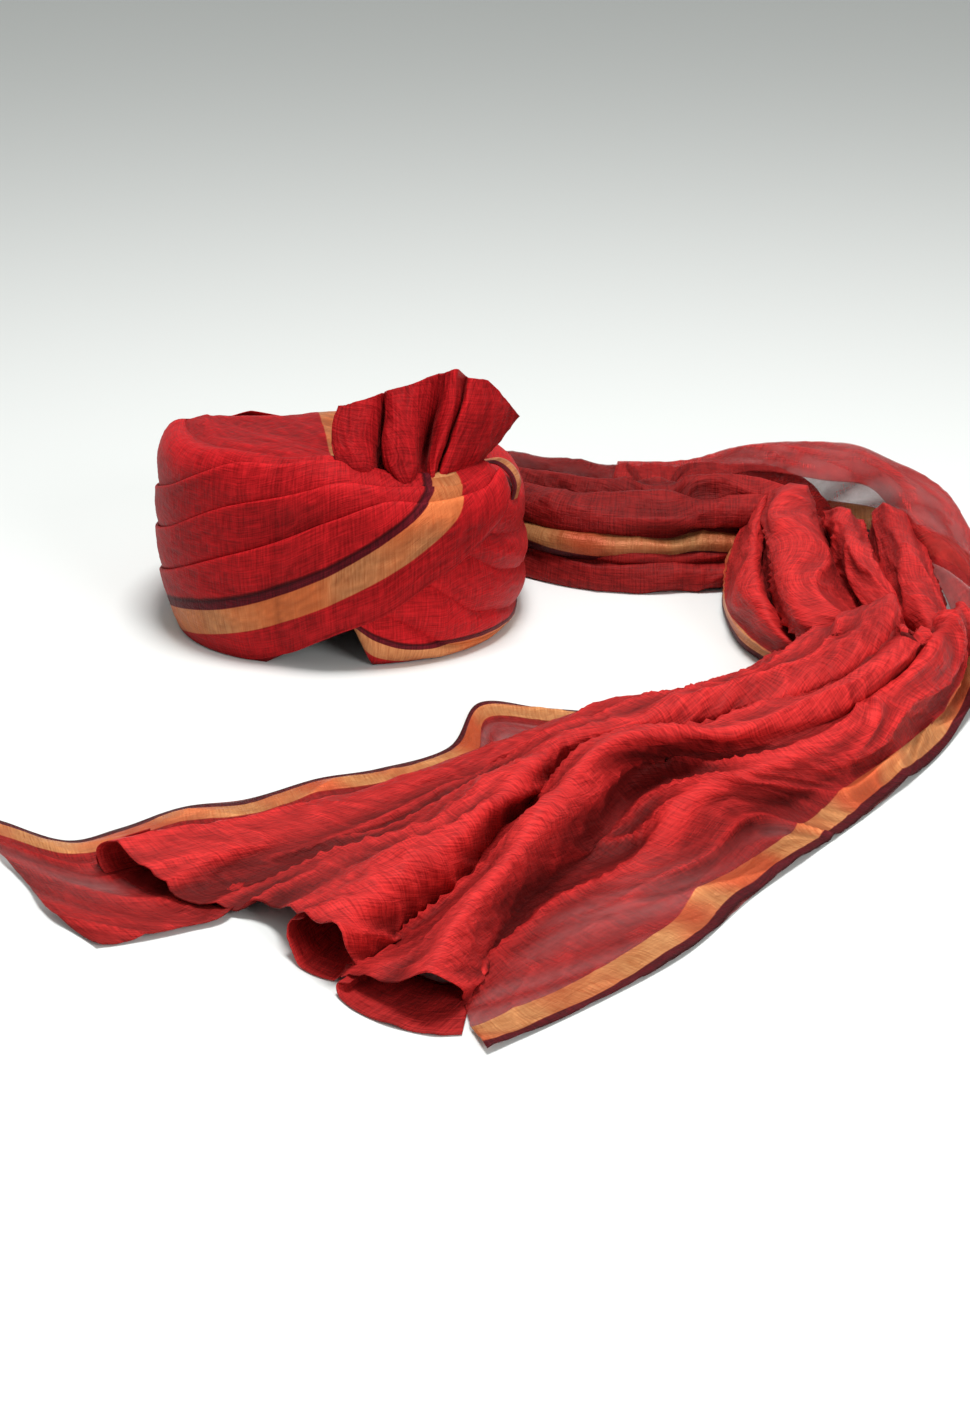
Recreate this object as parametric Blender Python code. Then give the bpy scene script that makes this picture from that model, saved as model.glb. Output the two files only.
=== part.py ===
"""A tied turban with its gathered fan and its long loose tail, standing on its rim.

Units are metres, +Z is up, and the front of the turban looks towards -Y. Angles go round the hat's centre
from +X, so -90 degrees is the forehead. A level is a share of the hat's height up its side: 0 is the rim,
1 is the shoulder, and 2 is the middle of the top.
"""

import math

import bmesh
import bpy
import numpy as np
from mathutils import Vector

# Hat sizes
HAT_HALF_WIDTH = 0.119
HAT_HALF_DEPTH = 0.122
HAT_HEIGHT = 0.137
HAT_CORNER_POWER = 2.3
CROWN_WALL = 0.008
CROWN_NOTCH_HEIGHT = 0.036
NOTCH_LEFT_ANGLE = -112.5
NOTCH_APEX_ANGLE = -82.5
NOTCH_RIGHT_ANGLE = -75.0
CLEARANCE = 0.0004

# Cloth thicknesses and pleat heights
WRAP_CLOTH = 0.0022
LEFT_PLEAT_LIFT = 0.0035
RIGHT_PLEAT_LIFT = 0.0032
RIGHT_PLEAT_PUFF = 0.0022
TOP_PLEAT_LIFT = 0.0022
TOP_WRAP_REACH = 0.80
TOP_PLEAT_STEP = 0.012
LAST_PLEAT_BULGE = 0.6
PLEAT_STEP_RUN = 0.0005
HEM_ABOVE_FLOOR = 0.0010
WRAP_EASE = 0.0006
TOP_EASE = 0.0010
SHOULDER_EASE = 0.0012
SHOULDER_EASE_FROM = 0.76
SHOULDER_EASE_FULL = 0.90

# Fan sizes
FAN_HEIGHT = 0.064
FAN_TOP_WIDTH = 0.124
FAN_LEAN_BACK = 0.026
FAN_CLOTH = 0.0024
FAN_FOLD_DEPTH = 0.0075
FAN_TOP_FOLD_SHARE = 0.75
FAN_FOOT_RISE = 0.35
FAN_FLARE_POWER = 1.2
FAN_FOOT_SEAT = 0.6
FAN_FIRST_ANGLE = -80.0
FAN_LAST_ANGLE = -32.0
FAN_FOOT_LEVEL = 1.0

# Back loop sizes
LOOP_WIDTH = 0.019
LOOP_CLOTH = 0.0024
LOOP_RISE = 0.009
LOOP_ANGLE = -21.0
LOOP_FIRST_LEVEL = 0.84
LOOP_LAST_LEVEL = 1.12

# Tail sizes
TAIL_REACH_RIGHT = 0.367
TAIL_REACH_FRONT = 0.490
TAIL_BUNDLE_HEIGHT = 0.060
TAIL_FULL_WIDTH = 0.380
TAIL_CLOTH = 0.0020
TAIL_TUCK = 0.0024
TAIL_END_REACH = 0.062
TAIL_END_FROM = 0.86

# Mesh steps
CROWN_SIDES = 48
CROWN_LEVELS = (0.0, 0.2, 0.45, 0.7, 0.86, 0.94, 1.0, 1.07, 1.2, 1.4, 1.7)
TAIL_STATIONS = 30
LEFT_BAND_PARTS = (4, 2, 2, 5)
RIGHT_BAND_PARTS = (1, 2, 2, 3, 4)
TOP_BAND_PARTS = 2
TOP_RUNS = 12
FAN_ROW_PARTS = 6
LOOP_RUNS = 8
PARTS_PER_FOLD = 3
CREST_SAMPLES = 20
HALVINGS = 30
LEVEL_STEP = 0.012
ALONG_STEP = 0.004

# The shoulder's height round the hat, as a share of HAT_HEIGHT: angle, height
SHOULDER_ROWS = (
    (-180, 0.965), (-150, 0.975), (-120, 0.985), (-90, 0.930), (-70, 0.840), (-45, 0.785), (-20, 0.755),
    (0, 0.735), (45, 0.720), (90, 0.710), (135, 0.800), (180, 0.965),
)
# The hat's side and top in section: level, share of the plan's radius, share of the shoulder's height
SECTION_ROWS = (
    (0.00, 0.945, 0.00), (0.12, 0.972, 0.12), (0.35, 1.000, 0.35), (0.60, 1.003, 0.60), (0.80, 0.985, 0.80),
    (0.93, 0.958, 0.93), (1.00, 0.910, 0.99), (1.08, 0.820, 1.01), (1.40, 0.500, 1.00), (2.00, 0.000, 1.00),
)
TOP_MIDDLE_SHARE = 0.965

# The left wrap's hem, its three pleat edges and its top edge, as levels
LEFT_ROWS = (
    (-258, 0.00, 0.13, 0.33, 0.57, 1.02),
    (-215, 0.00, 0.17, 0.38, 0.60, 1.03),
    (-180, 0.00, 0.23, 0.46, 0.66, 1.04),
    (-150, 0.00, 0.36, 0.58, 0.79, 1.06),
    (-122, 0.00, 0.54, 0.78, 0.96, 1.07),
    (-105, 0.07, 0.66, 0.87, 0.99, 1.07),
    (-90, 0.21, 0.80, 0.94, 1.01, 1.07),
    (-75, 0.34, 0.92, 0.97, 1.02, 1.07),
    (-62, 0.52, 0.93, 0.98, 1.02, 1.07),
    (-50, 0.65, 0.94, 0.98, 1.02, 1.07),
    (-40, 0.78, 0.95, 0.99, 1.03, 1.07),
    (-31, 0.92, 0.98, 1.01, 1.04, 1.07),
)
# The right wrap's hem, its four pleat edges and its top edge, as levels
RIGHT_ROWS = (
    (-88, 0.30, 0.42, 0.60, 0.76, 0.88, 0.97),
    (-84, 0.24, 0.40, 0.60, 0.76, 0.88, 0.98),
    (-77, 0.00, 0.35, 0.60, 0.76, 0.88, 0.99),
    (-65, 0.00, 0.22, 0.54, 0.76, 0.90, 1.00),
    (-55, 0.00, 0.10, 0.40, 0.71, 0.89, 1.01),
    (-45, 0.00, 0.07, 0.27, 0.61, 0.81, 1.02),
    (-35, 0.00, 0.06, 0.23, 0.50, 0.72, 1.04),
    (-15, 0.00, 0.05, 0.14, 0.40, 0.63, 1.06),
    (10, 0.00, 0.05, 0.11, 0.36, 0.60, 1.06),
    (45, 0.00, 0.06, 0.17, 0.38, 0.60, 1.06),
    (90, 0.00, 0.08, 0.22, 0.42, 0.62, 1.05),
    (122, 0.00, 0.10, 0.25, 0.45, 0.64, 1.03),
)
# How far the left wrap stands over the right wrap's cloth beneath it: angle, share of the right wrap's depth
OVERLAP_ROWS = ((-258, 1.0), (-236, 1.0), (-221, 0.0), (-106, 0.0), (-91, 1.0), (-50, 1.0), (-31, 1.8))
# The top wrap's pleat edges across the top, from its front side to its back side
TOP_EDGES = (-1.0, -0.62, -0.22, 0.20, 0.62, 1.0)
TOP_RUN_ANGLE = -38.0

# The fan's fold lines: place along the foot, place along the top, height share, depth share (front is plus)
FAN_ROWS = (
    (0.00, 0.000, 0.56, -0.10),
    (0.10, 0.100, 0.62, 0.45),
    (0.24, 0.235, 0.74, 0.40),
    (0.31, 0.265, 0.77, -0.90),
    (0.38, 0.310, 0.80, 0.85),
    (0.50, 0.430, 0.88, 1.00),
    (0.58, 0.520, 0.95, -0.95),
    (0.66, 0.600, 0.99, 0.75),
    (0.72, 0.690, 1.00, -0.30),
    (0.86, 0.830, 0.90, 0.15),
    (1.00, 1.000, 0.62, -0.55),
)

# The tail's start beside the hat: angle, half width as a share of TAIL_FULL_WIDTH, and height
TAIL_HAT_ROWS = ((98, 0.030, 1.35), (74, 0.062, 1.22), (48, 0.115, 1.05))
# The tail's run: x and y as shares of its two reaches, inner and outer half width, height.
# Widths are shares of TAIL_FULL_WIDTH and heights are shares of TAIL_BUNDLE_HEIGHT.
TAIL_ROWS = (
    (0.500, 0.190, 0.160, 0.155, 1.06),
    (0.690, 0.182, 0.158, 0.165, 1.10),
    (0.865, 0.165, 0.165, 0.200, 1.32),
    (0.978, 0.075, 0.195, 0.205, 1.42),
    (1.000, -0.090, 0.265, 0.200, 1.26),
    (0.940, -0.245, 0.225, 0.230, 1.08),
    (0.817, -0.388, 0.200, 0.270, 0.96),
    (0.640, -0.520, 0.272, 0.320, 0.90),
    (0.436, -0.653, 0.365, 0.380, 0.78),
    (0.232, -0.776, 0.300, 0.434, 0.66),
    (0.055, -0.888, 0.345, 0.474, 0.60),
    (-0.095, -1.000, 0.500, 0.500, 0.56),
)
# The tail's fold lines: place across (-1 inner side, 1 outer side) and height share on the straight run,
# in the turn, in the middle of the spread and at the cut end, then how far the line runs on at the end
TAIL_FOLDS = (
    (-1.00, 0.00, -1.00, 0.05, -1.00, 0.05, -1.00, 0.15, 0.12),
    (-0.88, 0.32, -0.84, 0.62, -0.80, 0.28, -0.82, 0.30, 0.45),
    (-0.72, 0.10, -0.62, 0.12, -0.62, 0.12, -0.52, 0.10, 0.85),
    (-0.36, 0.95, -0.36, 1.00, -0.42, 0.62, -0.24, 0.62, 1.00),
    (-0.06, 0.50, -0.12, 0.38, -0.18, 0.22, 0.06, 0.12, -0.40),
    (0.14, 0.96, 0.14, 0.88, 0.04, 0.72, 0.37, 0.90, 0.10),
    (0.38, 0.40, 0.36, 0.45, 0.18, 0.30, 0.52, 0.12, 0.05),
    (0.58, 0.92, 0.58, 1.00, 0.33, 0.78, 0.72, 1.00, 0.28),
    (0.78, 0.40, 0.76, 0.52, 0.60, 0.26, 0.84, 0.20, 0.10),
    (0.90, 0.62, 0.88, 0.78, 0.82, 0.24, 0.92, 0.24, 0.08),
    (1.00, 0.00, 1.00, 0.06, 1.00, 0.02, 1.00, 0.04, 0.08),
)
# Where along the tail each of those four sections holds, as shares of its length
TAIL_KEYS = (0.22, 0.44, 0.76, 1.0)

# Paint: red, green, blue, roughness
RED_CLOTH = (0.47, 0.012, 0.016, 0.62)
DARK_CLOTH = (0.30, 0.010, 0.014, 0.75)
SHEER_CLOTH = (0.52, 0.020, 0.024, 0.58)


def smooth(share):
    share = min(1.0, max(0.0, share))
    return share * share * (3 - 2 * share)


def read_rows(rows, where):
    """The values of a table at a place, on straight lines between its rows."""
    if where <= rows[0][0]:
        return rows[0][1:]
    for low, high in zip(rows, rows[1:]):
        if where <= high[0]:
            share = (where - low[0]) / (high[0] - low[0])
            return tuple(a + (b - a) * share for a, b in zip(low[1:], high[1:]))
    return rows[-1][1:]


def curve_rows(rows, where):
    """The values of a table at a place, on a smooth curve through its rows."""
    places = [row[0] for row in rows]
    where = min(max(where, places[0]), places[-1])
    i = max(0, min(len(rows) - 2, sum(place <= where for place in places) - 1))
    gap = places[i + 1] - places[i]
    share = (where - places[i]) / gap
    values = []
    for column in range(1, len(rows[0])):
        a, b = rows[i][column], rows[i + 1][column]
        before = rows[max(i - 1, 0)]
        after = rows[min(i + 2, len(rows) - 1)]
        slope_a = (b - before[column]) / (places[i + 1] - before[0]) * gap
        slope_b = (after[column] - a) / (after[0] - places[i]) * gap
        s2, s3 = share * share, share ** 3
        values.append(
            a * (2 * s3 - 3 * s2 + 1) + slope_a * (s3 - 2 * s2 + share)
            + b * (3 * s2 - 2 * s3) + slope_b * (s3 - s2)
        )
    return tuple(values)


def wrapped(angle):
    return (angle + 180.0) % 360.0 - 180.0


def plan_radius(angle):
    turn = math.radians(angle)
    across = abs(math.cos(turn)) / HAT_HALF_WIDTH
    along = abs(math.sin(turn)) / HAT_HALF_DEPTH
    return (across ** HAT_CORNER_POWER + along ** HAT_CORNER_POWER) ** (-1 / HAT_CORNER_POWER)


def shoulder_radius_share():
    return curve_rows(SECTION_ROWS, 1.0)[0]


def section_point(angle, level):
    """Distance from the hat's axis, and height, of the crown's outer surface."""
    radius_share, height_share = curve_rows(SECTION_ROWS, level)
    shoulder = HAT_HEIGHT * curve_rows(SHOULDER_ROWS, wrapped(angle))[0]
    middle = HAT_HEIGHT * TOP_MIDDLE_SHARE
    inward = smooth(1 - radius_share / shoulder_radius_share())
    height = shoulder * height_share * (1 - inward) + middle * inward
    return plan_radius(angle) * max(radius_share, 0.0), height


def body_point(angle, level, lift):
    """A point on the hat, a distance outside the crown's surface."""
    low = section_point(angle, max(level - LEVEL_STEP, 0.0))
    high = section_point(angle, min(level + LEVEL_STEP, 2.0))
    radius, height = section_point(angle, level)
    run, rise = high[0] - low[0], high[1] - low[1]
    length = math.hypot(run, rise)
    turn = math.radians(angle)
    radius += lift * rise / length
    height -= lift * run / length
    return Vector((radius * math.cos(turn), radius * math.sin(turn), height))


def cloth_material(name, paint):
    material = bpy.data.materials.new(name)
    material.use_nodes = True
    shader = material.node_tree.nodes["Principled BSDF"]
    shader.inputs["Base Color"].default_value = (*paint[:3], 1.0)
    shader.inputs["Roughness"].default_value = paint[3]
    shader.inputs["Metallic"].default_value = 0.0
    return material


def add_object(name, mesh, material, parent):
    mesh.materials.append(material)
    mesh.shade_smooth()
    mesh.set_sharp_from_angle(angle=math.radians(50))
    thing = bpy.data.objects.new(name, mesh)
    bpy.context.scene.collection.objects.link(thing)
    thing.parent = parent
    return thing


def finish_mesh(name, builder):
    bmesh.ops.recalc_face_normals(builder, faces=builder.faces)
    mesh = bpy.data.meshes.new(name)
    builder.to_mesh(mesh)
    builder.free()
    return mesh


def solid_between(name, outer, inner):
    """A closed wall between two grids of points that have the same rows and columns."""
    builder = bmesh.new()
    front = [[builder.verts.new(point) for point in row] for row in outer]
    back = [[builder.verts.new(point) for point in row] for row in inner]
    rows, columns = len(front), len(front[0])
    for i in range(rows - 1):
        for j in range(columns - 1):
            builder.faces.new((front[i][j], front[i + 1][j], front[i + 1][j + 1], front[i][j + 1]))
            builder.faces.new((back[i][j], back[i][j + 1], back[i + 1][j + 1], back[i + 1][j]))
    for i in range(rows - 1):
        for j in (0, columns - 1):
            builder.faces.new((front[i][j], back[i][j], back[i + 1][j], front[i + 1][j]))
    for j in range(columns - 1):
        for i in (0, rows - 1):
            builder.faces.new((front[i][j], front[i][j + 1], back[i][j + 1], back[i][j]))
    return finish_mesh(name, builder)


def pleat_rise(share, top_band, pleat_lift, puff):
    """How far a pleat stands out at a share of its width from its hidden foot to its folded edge."""
    bulge = math.sin(share * math.pi)
    return puff * bulge + pleat_lift * (LAST_PLEAT_BULGE * bulge if top_band else share)


def right_wrap_depth():
    """How far the right wrap's cloth stands out from the crown at most, with its clearance."""
    shares = [i / CREST_SAMPLES for i in range(CREST_SAMPLES + 1)]
    crest = max(pleat_rise(share, False, RIGHT_PLEAT_LIFT, RIGHT_PLEAT_PUFF) for share in shares)
    return CLEARANCE + WRAP_EASE + WRAP_CLOTH + crest


def surface_lift(rows, base_lift, pleat_lift, puff, angle, level):
    """How far a wrap's outer face stands out from the crown at one place."""
    edges = read_rows(rows, angle)
    band = max(i for i in range(len(edges) - 1) if i == 0 or level >= edges[i])
    share = min(1.0, max(0.0, (level - edges[band]) / (edges[band + 1] - edges[band])))
    rise = pleat_rise(share, band == len(edges) - 2, pleat_lift, puff)
    return base_lift(angle) + shoulder_ease(level) + WRAP_CLOTH + rise


def left_surface(angle, level):
    return surface_lift(LEFT_ROWS, left_base_lift, LEFT_PLEAT_LIFT, 0.0, angle, level)


def right_surface(angle, level):
    return surface_lift(RIGHT_ROWS, right_base_lift, RIGHT_PLEAT_LIFT, RIGHT_PLEAT_PUFF, angle, level)


def hem_level(angle):
    return HEM_ABOVE_FLOOR / (HAT_HEIGHT * curve_rows(SHOULDER_ROWS, wrapped(angle))[0])


def shoulder_ease(level):
    """How much further out cloth lies where it bends over the shoulder."""
    return SHOULDER_EASE * smooth((level - SHOULDER_EASE_FROM) / (SHOULDER_EASE_FULL - SHOULDER_EASE_FROM))


def pleated_wrap(name, rows, band_parts, base_lift, pleat_lift, puff):
    """A wall of pleats, each with its folded upper edge lying over the foot of the next one up."""
    outer, inner = [], []
    for angle in angles_between(rows[0][0], rows[-1][0]):
        edges = list(read_rows(rows, angle))
        edges[0] = max(edges[0], hem_level(angle))
        shoulder = HAT_HEIGHT * curve_rows(SHOULDER_ROWS, wrapped(angle))[0]
        outside, inside = [], []
        for band in range(len(edges) - 1):
            low = edges[band] + (PLEAT_STEP_RUN / shoulder if band else 0.0)
            high = edges[band + 1]
            for part in range(band_parts[band] + 1):
                share = part / band_parts[band]
                level = low + (high - low) * share
                rise = pleat_rise(share, band == len(edges) - 2, pleat_lift, puff)
                lift = base_lift(angle) + shoulder_ease(level)
                outside.append(off_floor(body_point(angle, level, lift + WRAP_CLOTH + rise)))
                inside.append(off_floor(body_point(angle, level, lift)))
        outer.append(outside)
        inner.append(inside)
    return solid_between(name, outer, inner)


def angles_between(first, last):
    """The crown's own angles from one end of a wrap to the other, with both ends."""
    step = 360.0 / CROWN_SIDES
    inside = range(math.floor(first / step) + 1, math.ceil(last / step))
    return [first] + [i * step for i in inside] + [last]


def off_floor(point):
    point.z = max(point.z, HEM_ABOVE_FLOOR)
    return point


def left_base_lift(angle):
    over = read_rows(OVERLAP_ROWS, angle)[0]
    return CLEARANCE + WRAP_EASE + over * (right_wrap_depth() + WRAP_EASE)


def right_base_lift(angle):
    return CLEARANCE + WRAP_EASE


def notch_level(angle):
    """How far up the crown's rim is cut away at the forehead, under the crossing of the two wraps."""
    if not NOTCH_LEFT_ANGLE < angle < NOTCH_RIGHT_ANGLE:
        return 0.0
    if angle < NOTCH_APEX_ANGLE:
        share = (angle - NOTCH_LEFT_ANGLE) / (NOTCH_APEX_ANGLE - NOTCH_LEFT_ANGLE)
    else:
        share = (NOTCH_RIGHT_ANGLE - angle) / (NOTCH_RIGHT_ANGLE - NOTCH_APEX_ANGLE)
    return CROWN_NOTCH_HEIGHT * share / HAT_HEIGHT


def crown_angles():
    return [-180.0 + 360.0 * i / CROWN_SIDES for i in range(CROWN_SIDES)]


def make_crown(parent):
    """The wound bowl: a wall and a closed top, open below, with its rim raised at the forehead."""
    builder = bmesh.new()
    angles = crown_angles()
    rings = []
    for wall in (0.0, -CROWN_WALL):
        order = CROWN_LEVELS if wall == 0.0 else CROWN_LEVELS[::-1]
        side = []
        for level in order:
            ring = []
            for angle in angles:
                cut = notch_level(angle)
                place = cut + level * (1 - cut) if level < 1 else level
                point = body_point(angle, place, wall)
                if level == 0.0:
                    turn = math.radians(angle)
                    inwards = Vector((math.cos(turn), math.sin(turn), 0.0)) * wall
                    point = body_point(angle, place, 0.0) + inwards
                ring.append(builder.verts.new(point))
            side.append(ring)
        rings.append(side)
    pole_out = builder.verts.new((0.0, 0.0, HAT_HEIGHT * TOP_MIDDLE_SHARE))
    pole_in = builder.verts.new((0.0, 0.0, HAT_HEIGHT * TOP_MIDDLE_SHARE - CROWN_WALL))
    count = len(angles)
    for side in rings:
        for low, high in zip(side, side[1:]):
            for j in range(count):
                k = (j + 1) % count
                builder.faces.new((low[j], low[k], high[k], high[j]))
    for j in range(count):
        k = (j + 1) % count
        builder.faces.new((rings[0][-1][j], rings[0][-1][k], pole_out))
        builder.faces.new((rings[1][0][k], rings[1][0][j], pole_in))
        builder.faces.new((rings[0][0][j], rings[0][0][k], rings[1][-1][k], rings[1][-1][j]))
    mesh = finish_mesh("crown", builder)
    return add_object("crown", mesh, cloth_material("crown_cloth", DARK_CLOTH), parent)


def make_left_wrap(parent):
    """The outermost pleated wrap, from the back round the left side and up to the gather under the fan."""
    mesh = pleated_wrap("left_wrap", LEFT_ROWS, LEFT_BAND_PARTS, left_base_lift, LEFT_PLEAT_LIFT, 0.0)
    return add_object("left_wrap", mesh, cloth_material("left_wrap_cloth", RED_CLOTH), parent)


def make_right_wrap(parent):
    """The pleated wrap that starts under the left one at the forehead and goes round the right side."""
    mesh = pleated_wrap(
        "right_wrap", RIGHT_ROWS, RIGHT_BAND_PARTS, right_base_lift, RIGHT_PLEAT_LIFT, RIGHT_PLEAT_PUFF)
    return add_object("right_wrap", mesh, cloth_material("right_wrap_cloth", RED_CLOTH), parent)


def top_point(x_share, y_share, lift):
    """A point over the hat's top, at a share of the top wrap's reach along and across its run."""
    along = x_share * math.sqrt(1 - y_share * y_share / 2)
    across = y_share * math.sqrt(1 - x_share * x_share / 2)
    angle = TOP_RUN_ANGLE + math.degrees(math.atan2(across, along))
    share = TOP_WRAP_REACH * shoulder_radius_share() * math.hypot(along, across)
    low, high = 1.0, 2.0
    for _ in range(HALVINGS):
        middle = (low + high) / 2
        if curve_rows(SECTION_ROWS, middle)[0] > share:
            low = middle
        else:
            high = middle
    radius, height = section_point(angle, low)
    turn = math.radians(angle)
    return Vector((radius * math.cos(turn), radius * math.sin(turn), height + lift))


def make_top_wrap(parent):
    """The layers that cross the top from the back left to the gather, in pleats that meet at both ends."""
    outer, inner = [], []
    for i in range(TOP_RUNS + 1):
        x_share = -1 + 2 * i / TOP_RUNS
        outside, inside = [], []
        for band in range(len(TOP_EDGES) - 1):
            low = TOP_EDGES[band] + (TOP_PLEAT_STEP if band else 0.0)
            high = TOP_EDGES[band + 1]
            for part in range(TOP_BAND_PARTS + 1):
                share = part / TOP_BAND_PARTS
                y_share = low + (high - low) * share
                rise = TOP_PLEAT_LIFT * (share if band < len(TOP_EDGES) - 2 else 1 - share)
                lift = CLEARANCE + TOP_EASE
                outside.append(top_point(x_share, y_share, lift + WRAP_CLOTH + rise))
                inside.append(top_point(x_share, y_share, lift))
        outer.append(outside)
        inner.append(inside)
    mesh = solid_between("top_wrap", outer, inner)
    return add_object("top_wrap", mesh, cloth_material("top_wrap_cloth", RED_CLOTH), parent)


def fan_point(column, up, thickness):
    """A point of the fan: column runs along it, up from its foot to its top edge."""
    rows = tuple((i / (len(FAN_ROWS) - 1), *row) for i, row in enumerate(FAN_ROWS))
    foot, top, height_share, depth = read_rows(rows, column)
    angle = FAN_FIRST_ANGLE + (FAN_LAST_ANGLE - FAN_FIRST_ANGLE) * foot
    seat = left_surface(angle, FAN_FOOT_LEVEL) + CLEARANCE + FAN_CLOTH * FAN_FOOT_SEAT
    base = body_point(angle, FAN_FOOT_LEVEL, seat)
    middle_x = body_point((FAN_FIRST_ANGLE + FAN_LAST_ANGLE) / 2, FAN_FOOT_LEVEL, 0.0).x
    crest_x = middle_x + FAN_TOP_WIDTH * (top - 0.5)
    fold = FAN_FOLD_DEPTH * (1 + depth) / 2 * (1 - (1 - FAN_TOP_FOLD_SHARE) * up)
    return Vector((
        base.x + (crest_x - base.x) * up ** FAN_FLARE_POWER,
        base.y + FAN_LEAN_BACK * up - fold - thickness,
        base.z + FAN_HEIGHT * height_share * up + fold * FAN_FOOT_RISE * (1 - up),
    ))


def make_fan(parent):
    """The gathered fan that stands up from the crossing at the front right."""
    folds = PARTS_PER_FOLD * (len(FAN_ROWS) - 1)
    columns = [i / folds for i in range(folds + 1)]
    heights = [i / FAN_ROW_PARTS for i in range(FAN_ROW_PARTS + 1)]
    outer = [[fan_point(column, up, FAN_CLOTH / 2) for up in heights] for column in columns]
    inner = [[fan_point(column, up, -FAN_CLOTH / 2) for up in heights] for column in columns]
    mesh = solid_between("fan", outer, inner)
    return add_object("fan", mesh, cloth_material("fan_cloth", RED_CLOTH), parent)


def make_back_loop(parent):
    """The bordered band that shows behind the fan, arching over the right shoulder."""
    outer, inner = [], []
    for i in range(LOOP_RUNS + 1):
        share = i / LOOP_RUNS
        level = LOOP_FIRST_LEVEL + (LOOP_LAST_LEVEL - LOOP_FIRST_LEVEL) * share
        arch = LOOP_RISE * math.sin(share * math.pi) ** 2
        half = math.degrees(LOOP_WIDTH / 2 / plan_radius(LOOP_ANGLE))
        row_out, row_in = [], []
        for side in (-1, 0, 1):
            angle = LOOP_ANGLE + half * side
            lift = right_surface(angle, level) + CLEARANCE + arch
            row_out.append(body_point(angle, level, lift + LOOP_CLOTH))
            row_in.append(body_point(angle, level, lift))
        outer.append(row_out)
        inner.append(row_in)
    mesh = solid_between("back_loop", outer, inner)
    return add_object("back_loop", mesh, cloth_material("back_loop_cloth", RED_CLOTH), parent)


def tail_route():
    """The tail's sections: centre x and y, inner half width, outer half width and height, in metres."""
    sections = []
    for angle, half_share, height_share in TAIL_HAT_ROWS:
        half = half_share * TAIL_FULL_WIDTH
        out = plan_radius(angle) + right_wrap_depth() + CLEARANCE + half - TAIL_TUCK
        turn = math.radians(angle)
        height = height_share * TAIL_BUNDLE_HEIGHT
        sections.append((out * math.cos(turn), out * math.sin(turn), half, half, height))
    for x, y, inside, outside, height_share in TAIL_ROWS:
        sections.append((
            x * TAIL_REACH_RIGHT, y * TAIL_REACH_FRONT, inside * TAIL_FULL_WIDTH,
            outside * TAIL_FULL_WIDTH, height_share * TAIL_BUNDLE_HEIGHT,
        ))
    lengths = [0.0]
    for one, two in zip(sections, sections[1:]):
        lengths.append(lengths[-1] + math.hypot(two[0] - one[0], two[1] - one[1]))
    return tuple((length / lengths[-1], *section) for length, section in zip(lengths, sections))


def tail_fold_at(along):
    """Each fold line's place across, height share and run-on at one share of the tail's length."""
    folds = []
    for fold in TAIL_FOLDS:
        rows = tuple((key, fold[2 * i], fold[2 * i + 1]) for i, key in enumerate(TAIL_KEYS))
        across, height = read_rows(rows, along)
        folds.append((across, height, fold[-1]))
    return folds


def tail_section(route, along):
    """The cloth's middle line across the tail at one place, with the upward side of each point."""
    x, y, inside, outside, height = curve_rows(route, along)
    before = curve_rows(route, max(along - ALONG_STEP, 0.0))
    after = curve_rows(route, min(along + ALONG_STEP, 1.0))
    heading = Vector((after[0] - before[0], after[1] - before[1], 0.0)).normalized()
    outward = Vector((-heading.y, heading.x, 0.0))
    folds = tail_fold_at(along)
    near_end = smooth((along - TAIL_END_FROM) / (1 - TAIL_END_FROM))
    line = []
    for low, high in zip(folds, folds[1:]):
        for part in range(PARTS_PER_FOLD):
            share = part / PARTS_PER_FOLD
            line.append((
                low[0] + (high[0] - low[0]) * share,
                low[1] + (high[1] - low[1]) * smooth(share),
                low[2] + (high[2] - low[2]) * smooth(share),
            ))
    line.append(folds[-1])
    flat = []
    for across, up, _ in line:
        half = inside if across < 0 else outside
        flat.append((half * across, up * (height - TAIL_CLOTH)))
    points, sides = [], []
    for i, (across, up) in enumerate(flat):
        one, two = flat[max(i - 1, 0)], flat[min(i + 1, len(flat) - 1)]
        run, rise = two[0] - one[0], two[1] - one[1]
        length = math.hypot(run, rise)
        run_on = TAIL_END_REACH * line[i][2] * near_end
        points.append(Vector((x, y, up + TAIL_CLOTH / 2)) + outward * across + heading * run_on)
        sides.append(Vector((0, 0, run / length)) - outward * (rise / length))
    return points, sides


def make_tail(parent):
    """The free end of the cloth: gathered behind the hat, turned round on the right, and spread in front."""
    route = tail_route()
    outer, inner = [], []
    for i in range(TAIL_STATIONS + 1):
        points, sides = tail_section(route, i / TAIL_STATIONS)
        half = TAIL_CLOTH / 2
        outer.append([point + side * half for point, side in zip(points, sides)])
        under = [point - side * half for point, side in zip(points, sides)]
        for point in under:
            point.z = max(point.z, 0.0)
        inner.append(under)
    mesh = solid_between("tail", outer, inner)
    return add_object("tail", mesh, cloth_material("tail_cloth", SHEER_CLOTH), parent)


def centre_on_floor(parent, pieces):
    """Moves the whole so that the origin is under the middle of its box, on the floor."""
    corners = np.array([tuple(vertex.co) for piece in pieces for vertex in piece.data.vertices])
    low, high = corners.min(axis=0), corners.max(axis=0)
    parent.location = (-(low[0] + high[0]) / 2, -(low[1] + high[1]) / 2, -low[2])


def main():
    for thing in list(bpy.data.objects):
        bpy.data.objects.remove(thing, do_unlink=True)
    turban = bpy.data.objects.new("turban", None)
    bpy.context.scene.collection.objects.link(turban)
    makers = (make_crown, make_left_wrap, make_right_wrap, make_top_wrap, make_fan, make_back_loop, make_tail)
    pieces = [make(turban) for make in makers]
    centre_on_floor(turban, pieces)


main()
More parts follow.
